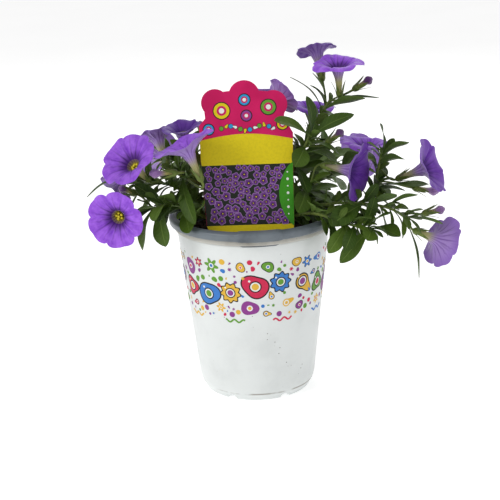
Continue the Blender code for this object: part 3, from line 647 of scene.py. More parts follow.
def leaf_look():
    """Soft dark green blades with a pale midrib, faint side veins and a paler underside."""
    look = Look("leaf", Roughness=0.5, Specular_IOR_Level=0.22)
    across, along_it, chance, _ = look.attribute("blade")
    under, young, _, _ = look.attribute("age")
    mottle = look.noise(look.place(), 420.0, 4.0)
    off = look.math("ABSOLUTE", across)
    midrib = look.ramp(off, 0.02, 0.09, 1.0, 0.0)
    slant = look.plus(look.times(along_it, 9.0), look.times(off, -1.6))
    side = look.math("ABSOLUTE", look.minus(look.math("FRACT", slant), 0.5))
    veins = look.times(look.ramp(side, 0.0, 0.1, 1.0, 0.0), 0.35)
    green = look.mix(chance, colour(40, 64, 14), colour(88, 114, 34))
    green = look.mix(look.times(mottle, 0.5), green, colour(50, 78, 20))
    green = look.mix(look.times(young, 0.6), green, colour(104, 126, 44))
    lines = look.math("MAXIMUM", look.times(midrib, 0.45), look.times(veins, 0.5))
    green = look.mix(lines, green, colour(112, 136, 62))
    green = look.mix(look.times(under, 0.45), green, colour(96, 118, 66))
    height = look.minus(mottle, look.plus(midrib, veins))
    return look.finish(green, look.ramp(mottle, 0.3, 0.7, 0.42, 0.6), height, 0.4, 0.3 * MM)


def stem_look():
    """Yellowish green shoots with a faint grain along them."""
    look = Look("green_stem", Roughness=0.5, Sheen_Weight=0.1, Specular_IOR_Level=0.3)
    patches = look.noise(look.place(), 260.0, 4.0)
    grain = look.noise(look.place(), 1500.0, 2.0)
    green = look.mix(look.ramp(patches, 0.3, 0.7), colour(78, 98, 34), colour(112, 126, 54))
    base = look.mix(look.times(grain, 0.3), green, colour(60, 82, 30))
    return look.finish(base, 0.5, grain, 0.3)


def bud_look():
    """Rolled petals, violet at the tip and yellowish green at the foot, with lines that wind round."""
    look = Look("bud_petal", Roughness=0.5, Sheen_Weight=0.35, Specular_IOR_Level=0.3)
    angle, along_it, pale, _ = look.attribute("roll")
    lines = vein_lines(look, angle, 15, look.times(along_it, 1.5), 0.3)
    tip = look.mix(pale, colour(92, 44, 112), colour(166, 126, 186))
    tip = look.mix(look.times(lines, 0.5), tip, colour(66, 28, 88))
    foot = look.mix(look.times(lines, 0.4), colour(172, 166, 92), colour(112, 110, 60))
    base = look.mix(look.ramp(along_it, 0.25, 0.62), foot, tip)
    return look.finish(base, 0.5, lines, 0.3)


def plastic_look(name, light, dark, roughness, specks=0.0, seam=None):
    """Moulded plastic with a faint orange-peel surface, cloudy grime and, where asked, small dark specks."""
    look = Look(name, Roughness=roughness, Specular_IOR_Level=0.45)
    place = look.place()
    clouds = look.noise(place, 38.0, 5.0, 0.6)
    peel = look.noise(place, 1900.0, 2.0)
    base = look.mix(look.ramp(clouds, 0.42, 0.72), light, dark)
    if specks:
        spots = look.add("TexVoronoi", 0, {"Vector": place, "Scale": 260.0})
        patches = look.ramp(look.noise(place, 30.0), 0.56, 0.64)
        where = look.times(look.ramp(spots, 0.07, 0.12, 1.0, 0.0), patches)
        base = look.mix(look.times(where, specks), base, colour(84, 78, 68))
    if seam:
        node = look.tree.nodes.new("ShaderNodeSeparateXYZ")
        look.tree.links.new(place, node.inputs[0])
        off = look.math("ABSOLUTE", look.minus(node.outputs[2], seam))
        broken = look.ramp(look.noise(place, 90.0), 0.4, 0.62)
        line = look.times(look.ramp(off, 0.1 * MM, 0.9 * MM, 1.0, 0.0), broken)
        base = look.mix(look.times(line, 0.75), base, colour(112, 100, 84))
    dull = look.ramp(clouds, 0.3, 0.8, roughness - 0.06, roughness + 0.12)
    return look.finish(base, dull, peel, 0.12, 0.05 * MM)


def soil_look():
    """Dark moist potting mix: fibrous browns with paler bits."""
    look = Look("potting_mix", Roughness=0.95, Specular_IOR_Level=0.2)
    place = look.place()
    coarse = look.noise(place, 240.0, 6.0, 0.7)
    fine = look.noise(place, 1300.0, 3.0)
    base = look.mix(look.ramp(coarse, 0.35, 0.7), colour(26, 19, 14), colour(66, 50, 36))
    base = look.mix(look.ramp(fine, 0.62, 0.8), base, colour(98, 80, 60))
    return look.finish(base, 0.95, look.plus(coarse, fine), 0.8, 0.6 * MM)


def ink_look(name, tint, roughness=0.42):
    """Printed ink, a little uneven."""
    look = Look(name, Roughness=roughness, Specular_IOR_Level=0.2)
    grain = look.noise(look.place(), 700.0, 3.0)
    darker = (*(c * 0.9 for c in tint[:3]), 1)
    base = look.mix(look.ramp(grain, 0.35, 0.75), tint, darker)
    return look.finish(base, roughness, grain, 0.08, 0.05 * MM)


# Looks: plant


def corolla(name, material, anther_material):
    """A bloom's fine corolla in the place of its solid, with the anthers and stigma in its throat."""
    _, _, throat, facing, width, turn = BLOOMS[name]
    draw = random.Random("corolla " + name)
    width *= MM
    frame = flower_frame(facing, turn)
    foot = Vector(throat) * MM - frame.col[2] * TUBE_LENGTH
    phase = [draw.uniform(0, math.tau) for _ in range(4)]
    # Painted shade for the blooms in SHADED; the others get only a small random darkening of tone
    shade = SHADED.get(name, draw.uniform(0.0, 0.15))
    thick = 0.14 * MM

    def ruffle(share, angle):
        wave = 0.40 * math.sin(3 * angle + phase[0]) + 0.34 * math.sin(7 * angle + phase[1])
        wave += 0.20 * math.sin(13 * angle + phase[2])
        from_crease = abs(math.sin(angle * LOBES / 2))
        crease = -1.1 * math.exp(-((from_crease / 0.2) ** 2)) * math.sin(math.pi * share) ** 0.7
        outer = (max(0.0, share - 0.45) / 0.55) ** 2
        curl = -(1.2 + CURL.get(name, 0.0)) * outer * (1 + 0.3 * math.sin(2 * angle + phase[3]))
        return (wave * share**2 + crease + curl) * MM

    def limb(share, angle, side):
        point = limb_point(share, width, angle, 0)
        point.z += ruffle(share, angle) - side * thick
        return point

    def tube_ring(height, inwards):
        up = (height - 0.3) / 14.6
        radius = 1.3 + 0.9 * min(1, 2 * up) + 1.75 * max(0, 2 * up - 1) ** 1.6 - inwards
        return [polar(radius * (1 + 0.05 * math.cos(LOBES * a)), a, height) * MM for a in angles]

    rings, petal, zone = [], [], []
    angles = turns(COROLLA_SIDES)

    def keep(points, share, tube_share, outside):
        rings.append([foot + frame @ p for p in points])
        petal.extend((math.cos(a), math.sin(a), share) for a in angles)
        zone.extend((tube_share, outside, shade) for _ in angles)

    for k in range(9):
        t = k / 8
        keep(tube_ring(0.3 + 14.6 * t, 0.0), 0.0, t * 0.9, 1)
    shares = [k / COROLLA_ROWS for k in range(COROLLA_ROWS + 1)]
    for share in shares:
        keep([limb(share, a, 1) for a in angles], share, 0.93 + 0.07 * min(1, share * 6), 1)
    for share in reversed(shares):
        keep([limb(share, a, -1) for a in angles], share, 1, 0)
    for k in range(1, 9):
        t = k / 8
        keep(tube_ring(15.2 - 12 * t, 0.22), 0.0, 1 - t, 0)
    points, faces = loops(rings)
    vectors = {"petal": petal, "zone": zone}
    piece("corolla_" + name, points, faces, material, ["bloom_" + name], vectors)
    heart = Mesh()
    for k in range(6):
        angle = math.tau * k / 5
        ring_radius = 0.0 if k == 5 else 1.9
        height = 15.4 if k == 5 else 14.2 + 0.5 * (k % 2)
        centre = polar(ring_radius, angle, height) * MM
        stalk = [foot + frame @ (centre * t + Vector((0, 0, 6 * MM)) * (1 - t)) for t in (0, 0.5, 1)]
        heart.take(*smooth_tube(stalk, [0.2 * MM] * 3, 6))
        bead = ((-0.55, 0.15), (-0.4, 0.62), (0, 0.85), (0.4, 0.62), (0.55, 0.15))
        middles = [foot + frame @ (centre + Vector((0, 0, z * MM))) for z, _ in bead]
        heart.take(*smooth_tube(middles, [r * MM for _, r in bead], 10))
    heart.make("anthers_" + name, anther_material, "petal")


def blade_half_width(leaf, t):
    """Half a blade's width, narrower at its foot than the solid's."""
    shape = max(0.0, math.sin(math.pi * min(1.0, t) ** 1.6)) ** 0.72
    return max(0.45 * MM * (1 - min(1.0, t)) ** 0.5, leaf["width"] / 2 * shape)


def add_blade(mesh, leaf, draw, young):
    """One fine leaf: folded along its midrib, waved at its edges and thin."""
    rows, columns = 13, 8
    chance, wave, twist = draw.random(), draw.uniform(0, math.tau), draw.uniform(-0.25, 0.25)
    fold = draw.uniform(0.12, 0.32)
    top, under, vectors = [], [], []
    for i in range(rows + 1):
        t = 1 - (1 - i / rows) ** 1.25
        centre, direction = leaf_centre(leaf, t)
        normal = leaf["side"].cross(direction).normalized()
        side = leaf["side"] * math.cos(twist * t) + normal * math.sin(twist * t)
        half = blade_half_width(leaf, t)
        thick = 0.22 * MM + 0.25 * MM * max(0, 1 - 5 * t)
        for j in range(columns + 1):
            s = 2 * j / columns - 1
            lift = fold * half * (abs(s) ** 1.3 - 0.5) + 0.07 * half * math.sin(9 * t + wave) * s
            point = centre + side * (half * s) + normal * lift
            edge = thick * (1 - 0.6 * abs(s))
            top.append(point + normal * edge)
            under.append(point - normal * edge)
            vectors.append((s, t, chance))
    faces = []
    wide = columns + 1
    count = len(top)
    for i in range(rows):
        for j in range(columns):
            a = i * wide + j
            faces.append((a, a + 1, a + wide + 1, a + wide))
            faces.append((a + count, a + wide + count, a + wide + 1 + count, a + 1 + count))
    outline = [*range(wide), *(i * wide + columns for i in range(1, rows + 1))]
    outline += [rows * wide + j for j in range(columns - 1, -1, -1)]
    outline += [i * wide for i in range(rows - 1, 0, -1)]
    for a, b in zip(outline, outline[1:] + outline[:1]):
        faces.append((b, a, a + count, b + count))
    ages = [(0, young, 0)] * count + [(1, young, 0)] * count
    mesh.take(top + under, faces, blade=vectors * 2, age=ages)


def add_sepals(mesh, foot, frame):
    """The green cup at a bloom's foot and its five narrow spreading sepals."""
    cup = ((-3.0, 0.9), (-2.2, 1.7), (-1.0, 2.3), (0.2, 2.45), (0.9, 2.3), (0.6, 1.75), (-0.4, 1.6))
    mesh.take(*loops([[foot + frame @ polar(r * MM, a, z * MM) for a in turns(20)] for z, r in cup]))
    for k in range(SEPALS):
        angle = math.tau * k / SEPALS
        out = frame @ Vector((math.cos(angle), math.sin(angle), 0))
        across = frame @ Vector((-math.sin(angle), math.cos(angle), 0))
        strips = []
        for t in (0, 0.15, 0.35, 0.6, 0.8, 0.93, 1.0):
            middle = foot + out * ((2.1 + 2.9 * t**1.5) * MM) + frame.col[2] * ((-0.6 + 8.6 * t) * MM)
            half = (0.85 + 0.25 * math.sin(math.pi * min(1, t * 1.4))) * (1 - t**3) * MM + 0.08 * MM
            thick = 0.22 * MM * (1 - 0.6 * t)
            inward = (out * 0.9 - frame.col[2] * 0.35).normalized() * thick
            corners = (-across * half, -inward * 1.6, across * half, inward)
            strips.append([middle + corner for corner in corners])
        mesh.take(*loops(strips))


def filler_leaves(name):
    """Small leaves between the solid's own, up one stem, which thicken the foliage."""
    draw = random.Random("filler of " + name)
    curve = stem_curve(name, 8)
    reach = sum((b - a).length for a, b in zip(curve, curve[1:]))
    found = []
    for k in range(int(reach / FILLER_SPACING)):
        share = 0.14 + 0.82 * k * FILLER_SPACING / reach
        base, lead = along(curve, share)
        across = lead.cross(Vector((0.3, 0.2, 1))).normalized()
        other = lead.cross(across)
        angle = GOLDEN_ANGLE * k + draw.uniform(-0.5, 0.5)
        opening = math.radians(draw.uniform(35, 75))
        out = across * math.cos(angle) + other * math.sin(angle)
        heading = (lead * math.cos(opening) + out * math.sin(opening)).normalized()
        long = draw.uniform(9, 16) * MM
        leaf = leaf_pose(base, base + heading * long, long * draw.uniform(0.36, 0.5), draw.uniform(0.1, 0.6))
        tip = leaf["base"] + heading * long
        if math.hypot(tip.x, tip.y) > 46 * MM or tip.z > POT_HEIGHT + 4 * MM:
            found.append(leaf)
    return [leaf for leaf in found if clear_of_tag(leaf)]


def clear_of_tag(leaf):
    """Whether a leaf stays on one side of the tag's plane, or beyond the tag's edges."""
    ends = [TAG_PLANE.inverted() @ leaf_centre(leaf, t)[0] for t in (0, 0.5, 1)]
    if all(p.y > 2 * MM for p in ends) or all(p.y < -2 * MM for p in ends):
        return True
    return all(abs(p.x) > 36 * MM for p in ends) or all(p.z > 106 * MM for p in ends)


def dress_leafy_stem(name, leaves, stem_material, leaf_material):
    """A leafy stem's fine shoots and leaves in the place of its solid."""
    draw = random.Random("looks of " + name)
    shoot = Mesh()
    curve = stem_curve(name, 8)
    last = len(curve) - 1
    radii = [stem_radius(i / last) * (1 + 0.08 * math.sin(i * 1.3)) for i in range(last + 1)]
    radii[-1] *= 0.5
    shoot.take(*smooth_tube(curve, radii, 12))
    feet = []
    for stem, share, throat, facing, _, turn in BLOOMS.values():
        if stem == name:
            frame = flower_frame(facing, turn)
            feet.append((share, Vector(throat) * MM - frame.col[2] * TUBE_LENGTH, frame))
    for stem, share, foot, facing, _ in BUDS.values():
        if stem == name:
            feet.append((share, Vector(foot) * MM, flower_frame(facing, 0)))
    for share, foot, frame in feet:
        stalk = stalk_curve(name, share, foot, frame.col[2], 14)
        shoot.take(*smooth_tube(stalk, [STALK_RADIUS * (0.85 + 0.35 * (i / 14) ** 3) for i in range(15)], 10))
        add_sepals(shoot, foot, frame)
    shoot.make("shoots_" + name, stem_material, "green_growth", ["leafy_stem_" + name])
    blades = Mesh("blade", "age")
    for leaf in leaves + filler_leaves(name):
        young = max(0.0, min(1.0, (17 * MM - leaf["length"]) / (9 * MM))) * draw.uniform(0.5, 1.0)
        add_blade(blades, leaf, draw, young)
    blades.make("leaves_" + name, leaf_material, "green_growth", sharp=60)


def dress_bud(name, material):
    """A rolled bud in the place of its solid: a slim foot, then a swollen tip with five wound folds."""
    _, _, foot, facing, length = BUDS[name]
    frame = flower_frame(facing, 0)
    foot = Vector(foot) * MM
    rings, roll = [], []
    pale = PALE_BUDS.get(name, 0.25)
    for k in range(25):
        t = k / 24
        radius = 1.2 + 0.5 * t + 1.25 * math.exp(-(((t - 0.76) / 0.17) ** 2)) - 1.0 * max(0, t - 0.85) / 0.15
        height = (0.2 + (length - 0.3) * t) * MM
        ring = []
        for angle in turns(BUD_SIDES):
            fold = 1 + 0.10 * min(1, 2 * t) * math.cos(LOBES * angle + 7 * t)
            ring.append(foot + frame @ polar(radius * fold * MM, angle, height))
            roll.append((math.cos(angle + 1.4 * t) * 3, t, pale))
        rings.append(ring)
    points, faces = loops(rings)
    piece("petals_bud_" + name, points, faces, material, ["bud_" + name], {"roll": roll})


# Looks: pot and soil


def lathe(profile, bend=None):
    """A turned body through (radius, height) points in metres. Its last ring joins its first."""
    points, faces = [], []
    for radius, height in profile:
        for angle in turns(LATHE_SIDES):
            more, up = bend(radius, height, angle) if bend else (0.0, 0.0)
            points.append(polar(radius + more, angle, height + up))
    for i in range(len(profile)):
        first, second = i * LATHE_SIDES, (i + 1) % len(profile) * LATHE_SIDES
        for k in range(LATHE_SIDES):
            n = (k + 1) % LATHE_SIDES
            faces.append((first + k, first + n, second + n, second + k))
    return points, faces


def arc(centre_r, centre_z, radius, start, end, steps):
    """Points of a rounded corner of a profile, angles in degrees from straight out."""
    points = []
    for k in range(steps + 1):
        angle = math.radians(start + (end - start) * k / steps)
        points.append((centre_r + radius * math.cos(angle), centre_z + radius * math.sin(angle)))
    return points


def foot_notch(radius, height, angle):
    """Lifts the foot between its pads."""
    if height > 3.0 * MM or radius < 27.5 * MM:
        return 0.0, 0.0
    turn = (angle * FEET / math.tau + 0.5) % 1 - 0.5
    lift = max(0.0, 1 - (abs(turn) / 0.085) ** 2)
    return 0.0, min(FOOT_LIFT, 3.0 * MM - height) * lift ** 0.5


def rim_flat(radius, height, angle):
    """The moulding mark on the rim's crest at the front: a short stretch that is a little higher."""
    turn = abs((angle + math.pi / 2 + math.pi) % math.tau - math.pi - math.radians(4))
    inside = max(0.0, min(1.0, (math.radians(15) - turn) / math.radians(1.5)))
    return 0.45 * MM * inside, (0.8 * MM * inside if height > 117 * MM else -0.4 * MM * inside)


def dress_pot():
    """The pot in the place of its solid: white wall and foot, a greyish beige shoulder ring under the rim that
    is darker than the wall, and grey rim and lining.
    """
    white = plastic_look("white_plastic", colour(223, 227, 226), colour(214, 218, 217), 0.34, 0.85, 5.2 * MM)
    grey = plastic_look("grey_plastic", colour(106, 115, 122), colour(76, 84, 92), 0.4, 0.5)
    # The shoulder ring under the rim is coloured greyish beige, darker than the white wall
    tan = plastic_look("shoulder_plastic", colour(190, 188, 180), colour(152, 148, 138), 0.5, 0.4)
    wall = [(9.0 * MM, FOOT_LIFT + WALL), (9.0 * MM, 0.5 * MM)]
    wall += arc(9.5 * MM, 0.5 * MM, 0.5 * MM, 180, 270, 3)
    wall += [(10.5 * MM, 0.0), (12.5 * MM, FOOT_LIFT), (27 * MM, FOOT_LIFT)]
    foot = ((28.6, 0.4), (29.2, 0.0), (34.3, 0.0), (35.0, 0.3), (35.5, 2.5), (35.9, 2.9), (36.5, 3.1))
    foot += ((37.3, 4.4), (38.1, 6.6), (38.7, 9.4))
    wall += [(r * MM, z * MM) for r, z in foot]
    wall += [(wall_radius(z * MM), z * MM) for z in (12, 20, 32, 44, 56, 68, 80, 92, 104, 109.2)]
    wall += [(49.7 * MM, 110.1 * MM), (wall_radius(109 * MM) - 0.5 * MM, 110.3 * MM)]
    wall += [(wall_radius(z * MM) - 0.5 * MM, z * MM) for z in (100, 80, 60, 40, 20, 12)]
    wall += [(36.0 * MM, 6.0 * MM), (33.0 * MM, FOOT_LIFT + 0.7 * MM)]
    points, faces = lathe(wall, foot_notch)
    piece("pot_wall", points, faces, white, ["pot"], sharp=50)
    shoulder = [(49.6 * MM, 110.2 * MM), *arc(51.0 * MM, 111.2 * MM, 0.6 * MM, 260, 360, 4)]
    shoulder += [(51.7 * MM, 114.0 * MM), (51.2 * MM, 114.6 * MM), (49.6 * MM, 114.6 * MM)]
    points, faces = lathe(shoulder)
    piece("pot_shoulder", points, faces, tan, sharp=50)
    lip = [(51.4 * MM, 114.4 * MM), *arc(53.9 * MM, 114.9 * MM, 0.7 * MM, 240, 340, 4)]
    lip += arc(53.2 * MM, 117.6 * MM, 1.8 * MM, 0, 70, 7)
    lip += arc(52.0 * MM, 118.0 * MM, 2.0 * MM, 90, 165, 6)
    lip += [(49.6 * MM, 116.0 * MM), (49.0 * MM, 113.0 * MM)]
    lip += [(wall_radius(z * MM) - WALL, z * MM) for z in (108, 90, 70, 50, 30, 12)]
    lip += [(34 * MM, FOOT_LIFT + WALL + 0.6 * MM), (20 * MM, FOOT_LIFT + WALL), (12 * MM, FOOT_LIFT + WALL)]
    lip += [(12 * MM, FOOT_LIFT + 0.6 * MM), (33.2 * MM, FOOT_LIFT + 0.8 * MM)]
    lip += [(wall_radius(z * MM) - 0.55 * MM, z * MM) for z in (12, 30, 50, 70, 90, 108)]
    lip += [(49.5 * MM, 111.0 * MM), (49.5 * MM, 114.4 * MM)]
    lip = [(r, min(z, POT_HEIGHT)) for r, z in lip]
    points, faces = lathe(lip, rim_flat)
    piece("pot_rim", points, faces, grey, sharp=50)


def dress_soil():
    """The potting mix in the place of its solid: an uneven top with crumbs of bark and a little perlite."""
    draw = random.Random("potting mix")
    material = soil_look()
    rings = []
    sides = 96
    for radius, height in ((31.5, 4.3), (37.0, 12.6), (47.6, 105.0)):
        rings.append([polar(radius * MM, a, height * MM) for a in turns(sides)])
    for share in [1 - k / 22 for k in range(1, 22)]:
        ring = []
        for p in (polar(47.6 * MM * share, a) for a in turns(sides)):
            crumb = noise.fractal(Vector((p.x, p.y, 0)) * 190, 1.0, 2.0, 4) * 1.1 * MM
            ring.append(Vector((p.x, p.y, soil_height(p.x, p.y) + crumb * min(1, 12 * (1 - share)))))
        rings.append(ring)
    points, faces = loops(rings)
    piece("soil_bed", points, faces, material, ["soil"], sharp=180)
    bark, perlite = Mesh(), Mesh()
    for k in range(420):
        radius, angle = 46 * MM * math.sqrt(draw.random()), draw.uniform(0, math.tau)
        centre = polar(radius, angle)
        size = draw.uniform(0.5, 1.6) * MM
        centre.z = soil_height(centre.x, centre.y) + size * 0.25
        turn = Euler([draw.uniform(0, math.tau) for _ in range(3)]).to_matrix()
        shape = Vector((1, draw.uniform(0.4, 0.9), draw.uniform(0.3, 0.7))) * size
        rings = []
        for z, r in ((-0.9, 0.35), (-0.4, 0.9), (0.3, 1.0), (0.85, 0.4)):
            ring = []
            for i in range(6):
                a = math.tau * i / 6 + z
                jag = draw.uniform(0.75, 1.15)
                corner = polar(r * jag, a, z)
                ring.append(centre + turn @ (corner * shape))
            rings.append(ring)
        (perlite if k % 19 == 0 else bark).take(*loops(rings))
    bark.make("bark_crumbs", material, "potting_mix")
    grain = plastic_look("perlite_grain", colour(214, 210, 200), colour(180, 176, 166), 0.9)
    perlite.make("perlite", grain, "potting_mix")


# Looks: printed pot band and tag


def blot(centre, outline, rings=3):
    """A flat round-ish shape as points and faces: outline gives its reach for each direction."""
    middle = Vector(centre)
    points, faces = [middle], []
    count = len(outline)
    for i in range(1, rings + 1):
        points += [middle + polar(reach * i / rings, a).xy for reach, a in zip(outline, turns(count))]
    for k in range(count):
        n = (k + 1) % count
        faces.append((0, 1 + k, 1 + n))
        for i in range(rings - 1):
            a = 1 + i * count
            faces.append((a + k, a + count + k, a + count + n, a + n))
    return points, faces


def disc(radius, count=28):
    return [radius] * count


def pebble(radius, draw, count=36):
    """A rounded, slightly irregular outline."""
    a, b = draw.uniform(0, math.tau), draw.uniform(0, math.tau)
    return [radius * (1 + 0.13 * math.cos(2 * t + a) + 0.07 * math.cos(3 * t + b)) for t in turns(count)]


def drop(radius, turn, count=40):
    """A teardrop that points along an angle."""
    outline = []
    for angle in turns(count):
        near = math.atan2(math.sin(angle - turn), math.cos(angle - turn))
        outline.append(radius * (0.78 + 0.95 * math.exp(-((near / 0.42) ** 2))))
    return outline


def sun(radius, rays, depth, turn, count=72):
    """A wheel with rounded rays."""
    return [radius * (1 - depth / 2 + depth / 2 * math.cos(rays * (a - turn))) for a in turns(count)]


def grown(outline, by):
    return [reach + by for reach in outline]


def ribbon(path, half):
    """A flat strip along a path of (across, up) points."""
    points, faces = [], []
    for i, p in enumerate(path):
        ahead = (path[min(i + 1, len(path) - 1)] - path[max(i - 1, 0)]).normalized()
        side = Vector((-ahead.y, ahead.x)) * half
        points += [p - side, p + side]
        if i:
            faces.append((2 * i - 2, 2 * i, 2 * i + 1, 2 * i - 1))
    return points, faces


class Print:
    """Flat shapes in several inks, laid on a surface as thin films and made into one piece for each ink."""

    def __init__(self, prefix, lay, slot):
        self.prefix, self.lay, self.slot = prefix, lay, slot
        self.inks = {}

    def add(self, ink, shape, layer):
        points, faces = shape
        top = [self.lay(p, (layer + 1) * FILM) for p in points]
        under = [self.lay(p, layer * FILM * 0.5) for p in points]
        count = len(points)
        edges = {}
        for face in faces:
            for a, b in zip(face, face[1:] + face[:1]):
                edges[(a, b)] = edges.get((a, b), 0) + 1
        rim = [(a, b) for a, b in edges if (b, a) not in edges]
        solid = list(faces) + [tuple(i + count for i in reversed(face)) for face in faces]
        solid += [(b, a, a + count, b + count) for a, b in rim]
        self.inks.setdefault(ink, Mesh()).take(top + under, solid)

    def finish(self):
        for ink, mesh in self.inks.items():
            look = ink_look(f"{self.prefix}_ink_{ink}", INKS[ink])
            mesh.make(f"{self.prefix}_{ink}", look, self.slot, sharp=30)


def on_wall(p, out):
    """Lays a band's point, (round the pot, up) in mm from the front, on the tapered wall."""
    height = p.y * MM
    radius = wall_radius(height) + out
    return polar(radius, -math.pi / 2 + p.x * MM / BAND_RADIUS, height)


def print_band():
    """The band round the pot: big outlined pebbles, suns and drops along a wave, among smaller marks."""
    draw = random.Random("band")
    band = Print("band", on_wall, "pot_plastic")
    around = math.tau * BAND_RADIUS / MM
    names = ("pink", "blue", "yellow", "green", "purple")
    placed = []

    def free(x, y, size, gap):
        for a, b, r in placed:
            apart = (x - a + around / 2) % around - around / 2
            if math.hypot(apart, y - b) < size + r + gap:
                return False
        return True

    count = 18
    for k in range(count):
        x = around * k / count
        y = 80.0 + 4.5 * math.sin(math.tau * 3 * k / count + 0.6)
        size = 6.6 if k % 2 else 7.6
        ink, other = names[k % 5], names[(k + 2) % 5]
        turn = draw.uniform(0, math.tau)
        suns = sun(size, 9, 0.24, turn), sun(size, 3, 0.34, turn)
        outline = (pebble(size, draw), suns[0], drop(size * 0.80, turn), suns[1])[k % 4]
        placed.append((x, y, size * 0.98))
        band.add("black", blot((x, y), grown(outline, 0.9)), 1)
        band.add(ink, blot((x, y), outline), 2)
        band.add("black", blot((x, y), disc(size * 0.52)), 3)
        band.add("white", blot((x, y), disc(size * 0.42)), 4)
        band.add(other, blot((x, y), disc(size * 0.30)), 5)
        band.add("white", blot((x - size * 0.48, y + size * 0.52), disc(size * 0.10, 12)), 4)
    tiers = ((60, 5.2, 6.2), (240, 2.6, 3.8), (2600, 0.9, 2.1))
    for tier, (tries, low, high) in enumerate(tiers):
        for _ in range(tries):
            x, size = draw.uniform(0, around), draw.uniform(low, high)
            y = draw.uniform(60 + size, 101 - size)
            if not free(x, y, size, 0.7):
                continue
            placed.append((x, y, size))
            ink, turn = draw.choice(names), draw.uniform(0, math.tau)
            shapes = (disc(size), drop(size * 0.62, turn), sun(size, 6, 0.5, turn), pebble(size * 0.9, draw))
            shape = shapes[draw.randrange(1, 4) if tier < 2 else draw.randrange(4)]
            if tier == 1 and draw.random() < 0.6:
                band.add("black", blot((x, y), grown(shape, 0.45)), 1)
            band.add(ink, blot((x, y), shape), 2)
            if tier < 2:
                band.add("white", blot((x, y), disc(size * 0.34)), 3)
                band.add(draw.choice(names), blot((x, y), disc(size * 0.2, 12)), 4)
    for k in range(9):
        x0 = around * (k + 0.35) / 9
        path = [Vector((x0 + s * 0.9, 58.6 + 1.0 * math.sin(s * 0.9 + k))) for s in range(16)]
        band.add(names[k % 5], ribbon(path, 0.6), 2)
    band.finish()


def on_tag(p, out):
    """Lays a point, (across, up) in mm in the tag's plane, on the tag's front."""
    return TAG_PLANE @ Vector((p.x * MM, -0.3 * MM - out, p.y * MM))


def tag_reach(v):
    """Left and right edges of the tag's body at a height, in mm."""
    def at(side):
        rows = sorted((b, a) for a, b in side)
        for (v0, u0), (v1, u1) in zip(rows, rows[1:]):
            if v0 <= v <= v1:
                return u0 + (u1 - u0) * (v - v0) / (v1 - v0)
        return rows[0][1] if v < rows[0][0] else rows[-1][1]
    return at(TAG_LEFT), at(TAG_RIGHT)


def tab_edge(v):
    """Left edge of the green tab at a height: an arc that swells to the left half way up."""
    share = max(0.0, min(1.0, (v - 11.5) / 40))
    return 27.0 - 9.0 * math.sin(math.pi * share) ** 0.7


def field(low, high, arch=0.0, slope=0.0):
    """A field across the tag between two heights. Its upper edge can arch and slope."""
    columns, rows, inset = 12, 8, 0.1
    points, faces = [], []
    for i in range(rows + 1):
        for j in range(columns + 1):
            share = j / columns
            upper = high + arch * math.sin(math.pi * share) + slope * share
            v = low + (upper - low) * i / rows
            left, right = tag_reach(v)
            points.append(Vector((left + inset + (right - left - 2 * inset) * share, v)))
            if i and j:
                a = i * (columns + 1) + j
                faces.append((a - columns - 2, a - columns - 1, a, a - 1))
    return points, faces


def print_tag():
    """The tag's print: rings and drops on the head, a bare yellow band, massed blooms and a green tab."""
    draw = random.Random("tag")
    tag = Print("tag", on_tag, "tag_plastic")
    tag.add("tagyellow", field(50.8, 66.6, 3.8, -0.4), 1)
    tag.add("tagdark", field(12.8, 50.8), 1)
    tag.add("tagyellow", field(2.5, 12.8), 1)
    spots = []
    for _ in range(2600):
        u, v = draw.uniform(-31, 26), draw.uniform(14.8, 49.4)
        left, right = tag_reach(v)
        size = draw.uniform(1.9, 3.1)
        clear = all(math.hypot(u - a, v - b) > (size + r) * 0.80 for a, b, r in spots)
        if clear and left + size < u < tab_edge(v) - size * 0.6:
            spots.append((u, v, size))
    for k, (u, v, size) in enumerate(spots):
        turn = draw.uniform(0, math.tau)
        layer = 2 + 4 * (k % 3)
        outline = sun(size, 5, 0.18, turn, 30)
        tag.add("lilac", blot((u, v), outline, 1), layer)
        tag.add("bloompurple", blot((u, v), sun(size * 0.86, 5, 0.2, turn, 30), 1), layer + 1)
        tag.add("plum", blot((u, v), sun(size * 0.46, 5, 0.4, turn, 20), 1), layer + 2)
        tag.add("tagyellow", blot((u, v), disc(size * 0.15, 8), 1), layer + 3)
    points, faces = [], []
    for i in range(25):
        v = 11.5 + 40 * i / 24
        right = tag_reach(v)[1] - 0.1
        points += [Vector((min(tab_edge(v), right - 0.05), v)), Vector((right, v))]
        if i:
            faces.append((2 * i - 2, 2 * i - 1, 2 * i + 1, 2 * i))
    tag.add("tab", (points, faces), 14)
    for k in range(7):
        tag.add("white", blot((23.6, 19.0 + 4.4 * k), disc(0.85 if k % 2 else 0.5, 14), 1), 15)
    heads = ((-16.5, 85, 5.0, "tagyellow"), (-2, 91.5, 3.4, "tagblue"), (13, 86.5, 4.6, "green"))
    heads += ((-25, 73.5, 3.2, "tagblue"), (21.5, 75.5, 3.3, "tagyellow"), (-1, 81.5, 3.2, "purple"))
    for u, v, size, ink in heads:
        tag.add("black", blot((u, v), disc(size + 0.6)), 2)
        tag.add(ink, blot((u, v), disc(size)), 3)
        tag.add("tagpink", blot((u, v), disc(size * 0.62)), 4)
        tag.add("white", blot((u, v), disc(size * 0.34)), 5)
    for k in range(12):
        u = -17 + 3.0 * k
        v = 73.8 + 1.4 * math.sin(0.9 * k)
        shape = drop(1.15, 0.9 * k) if k % 2 else disc(1.35)
        ink = ("green", "tagyellow", "tagblue", "white")[k % 4]
        tag.add("black", blot((u, v), grown(shape, 0.3)), 2)
        tag.add(ink, blot((u, v), shape), 3)
    tag.finish()


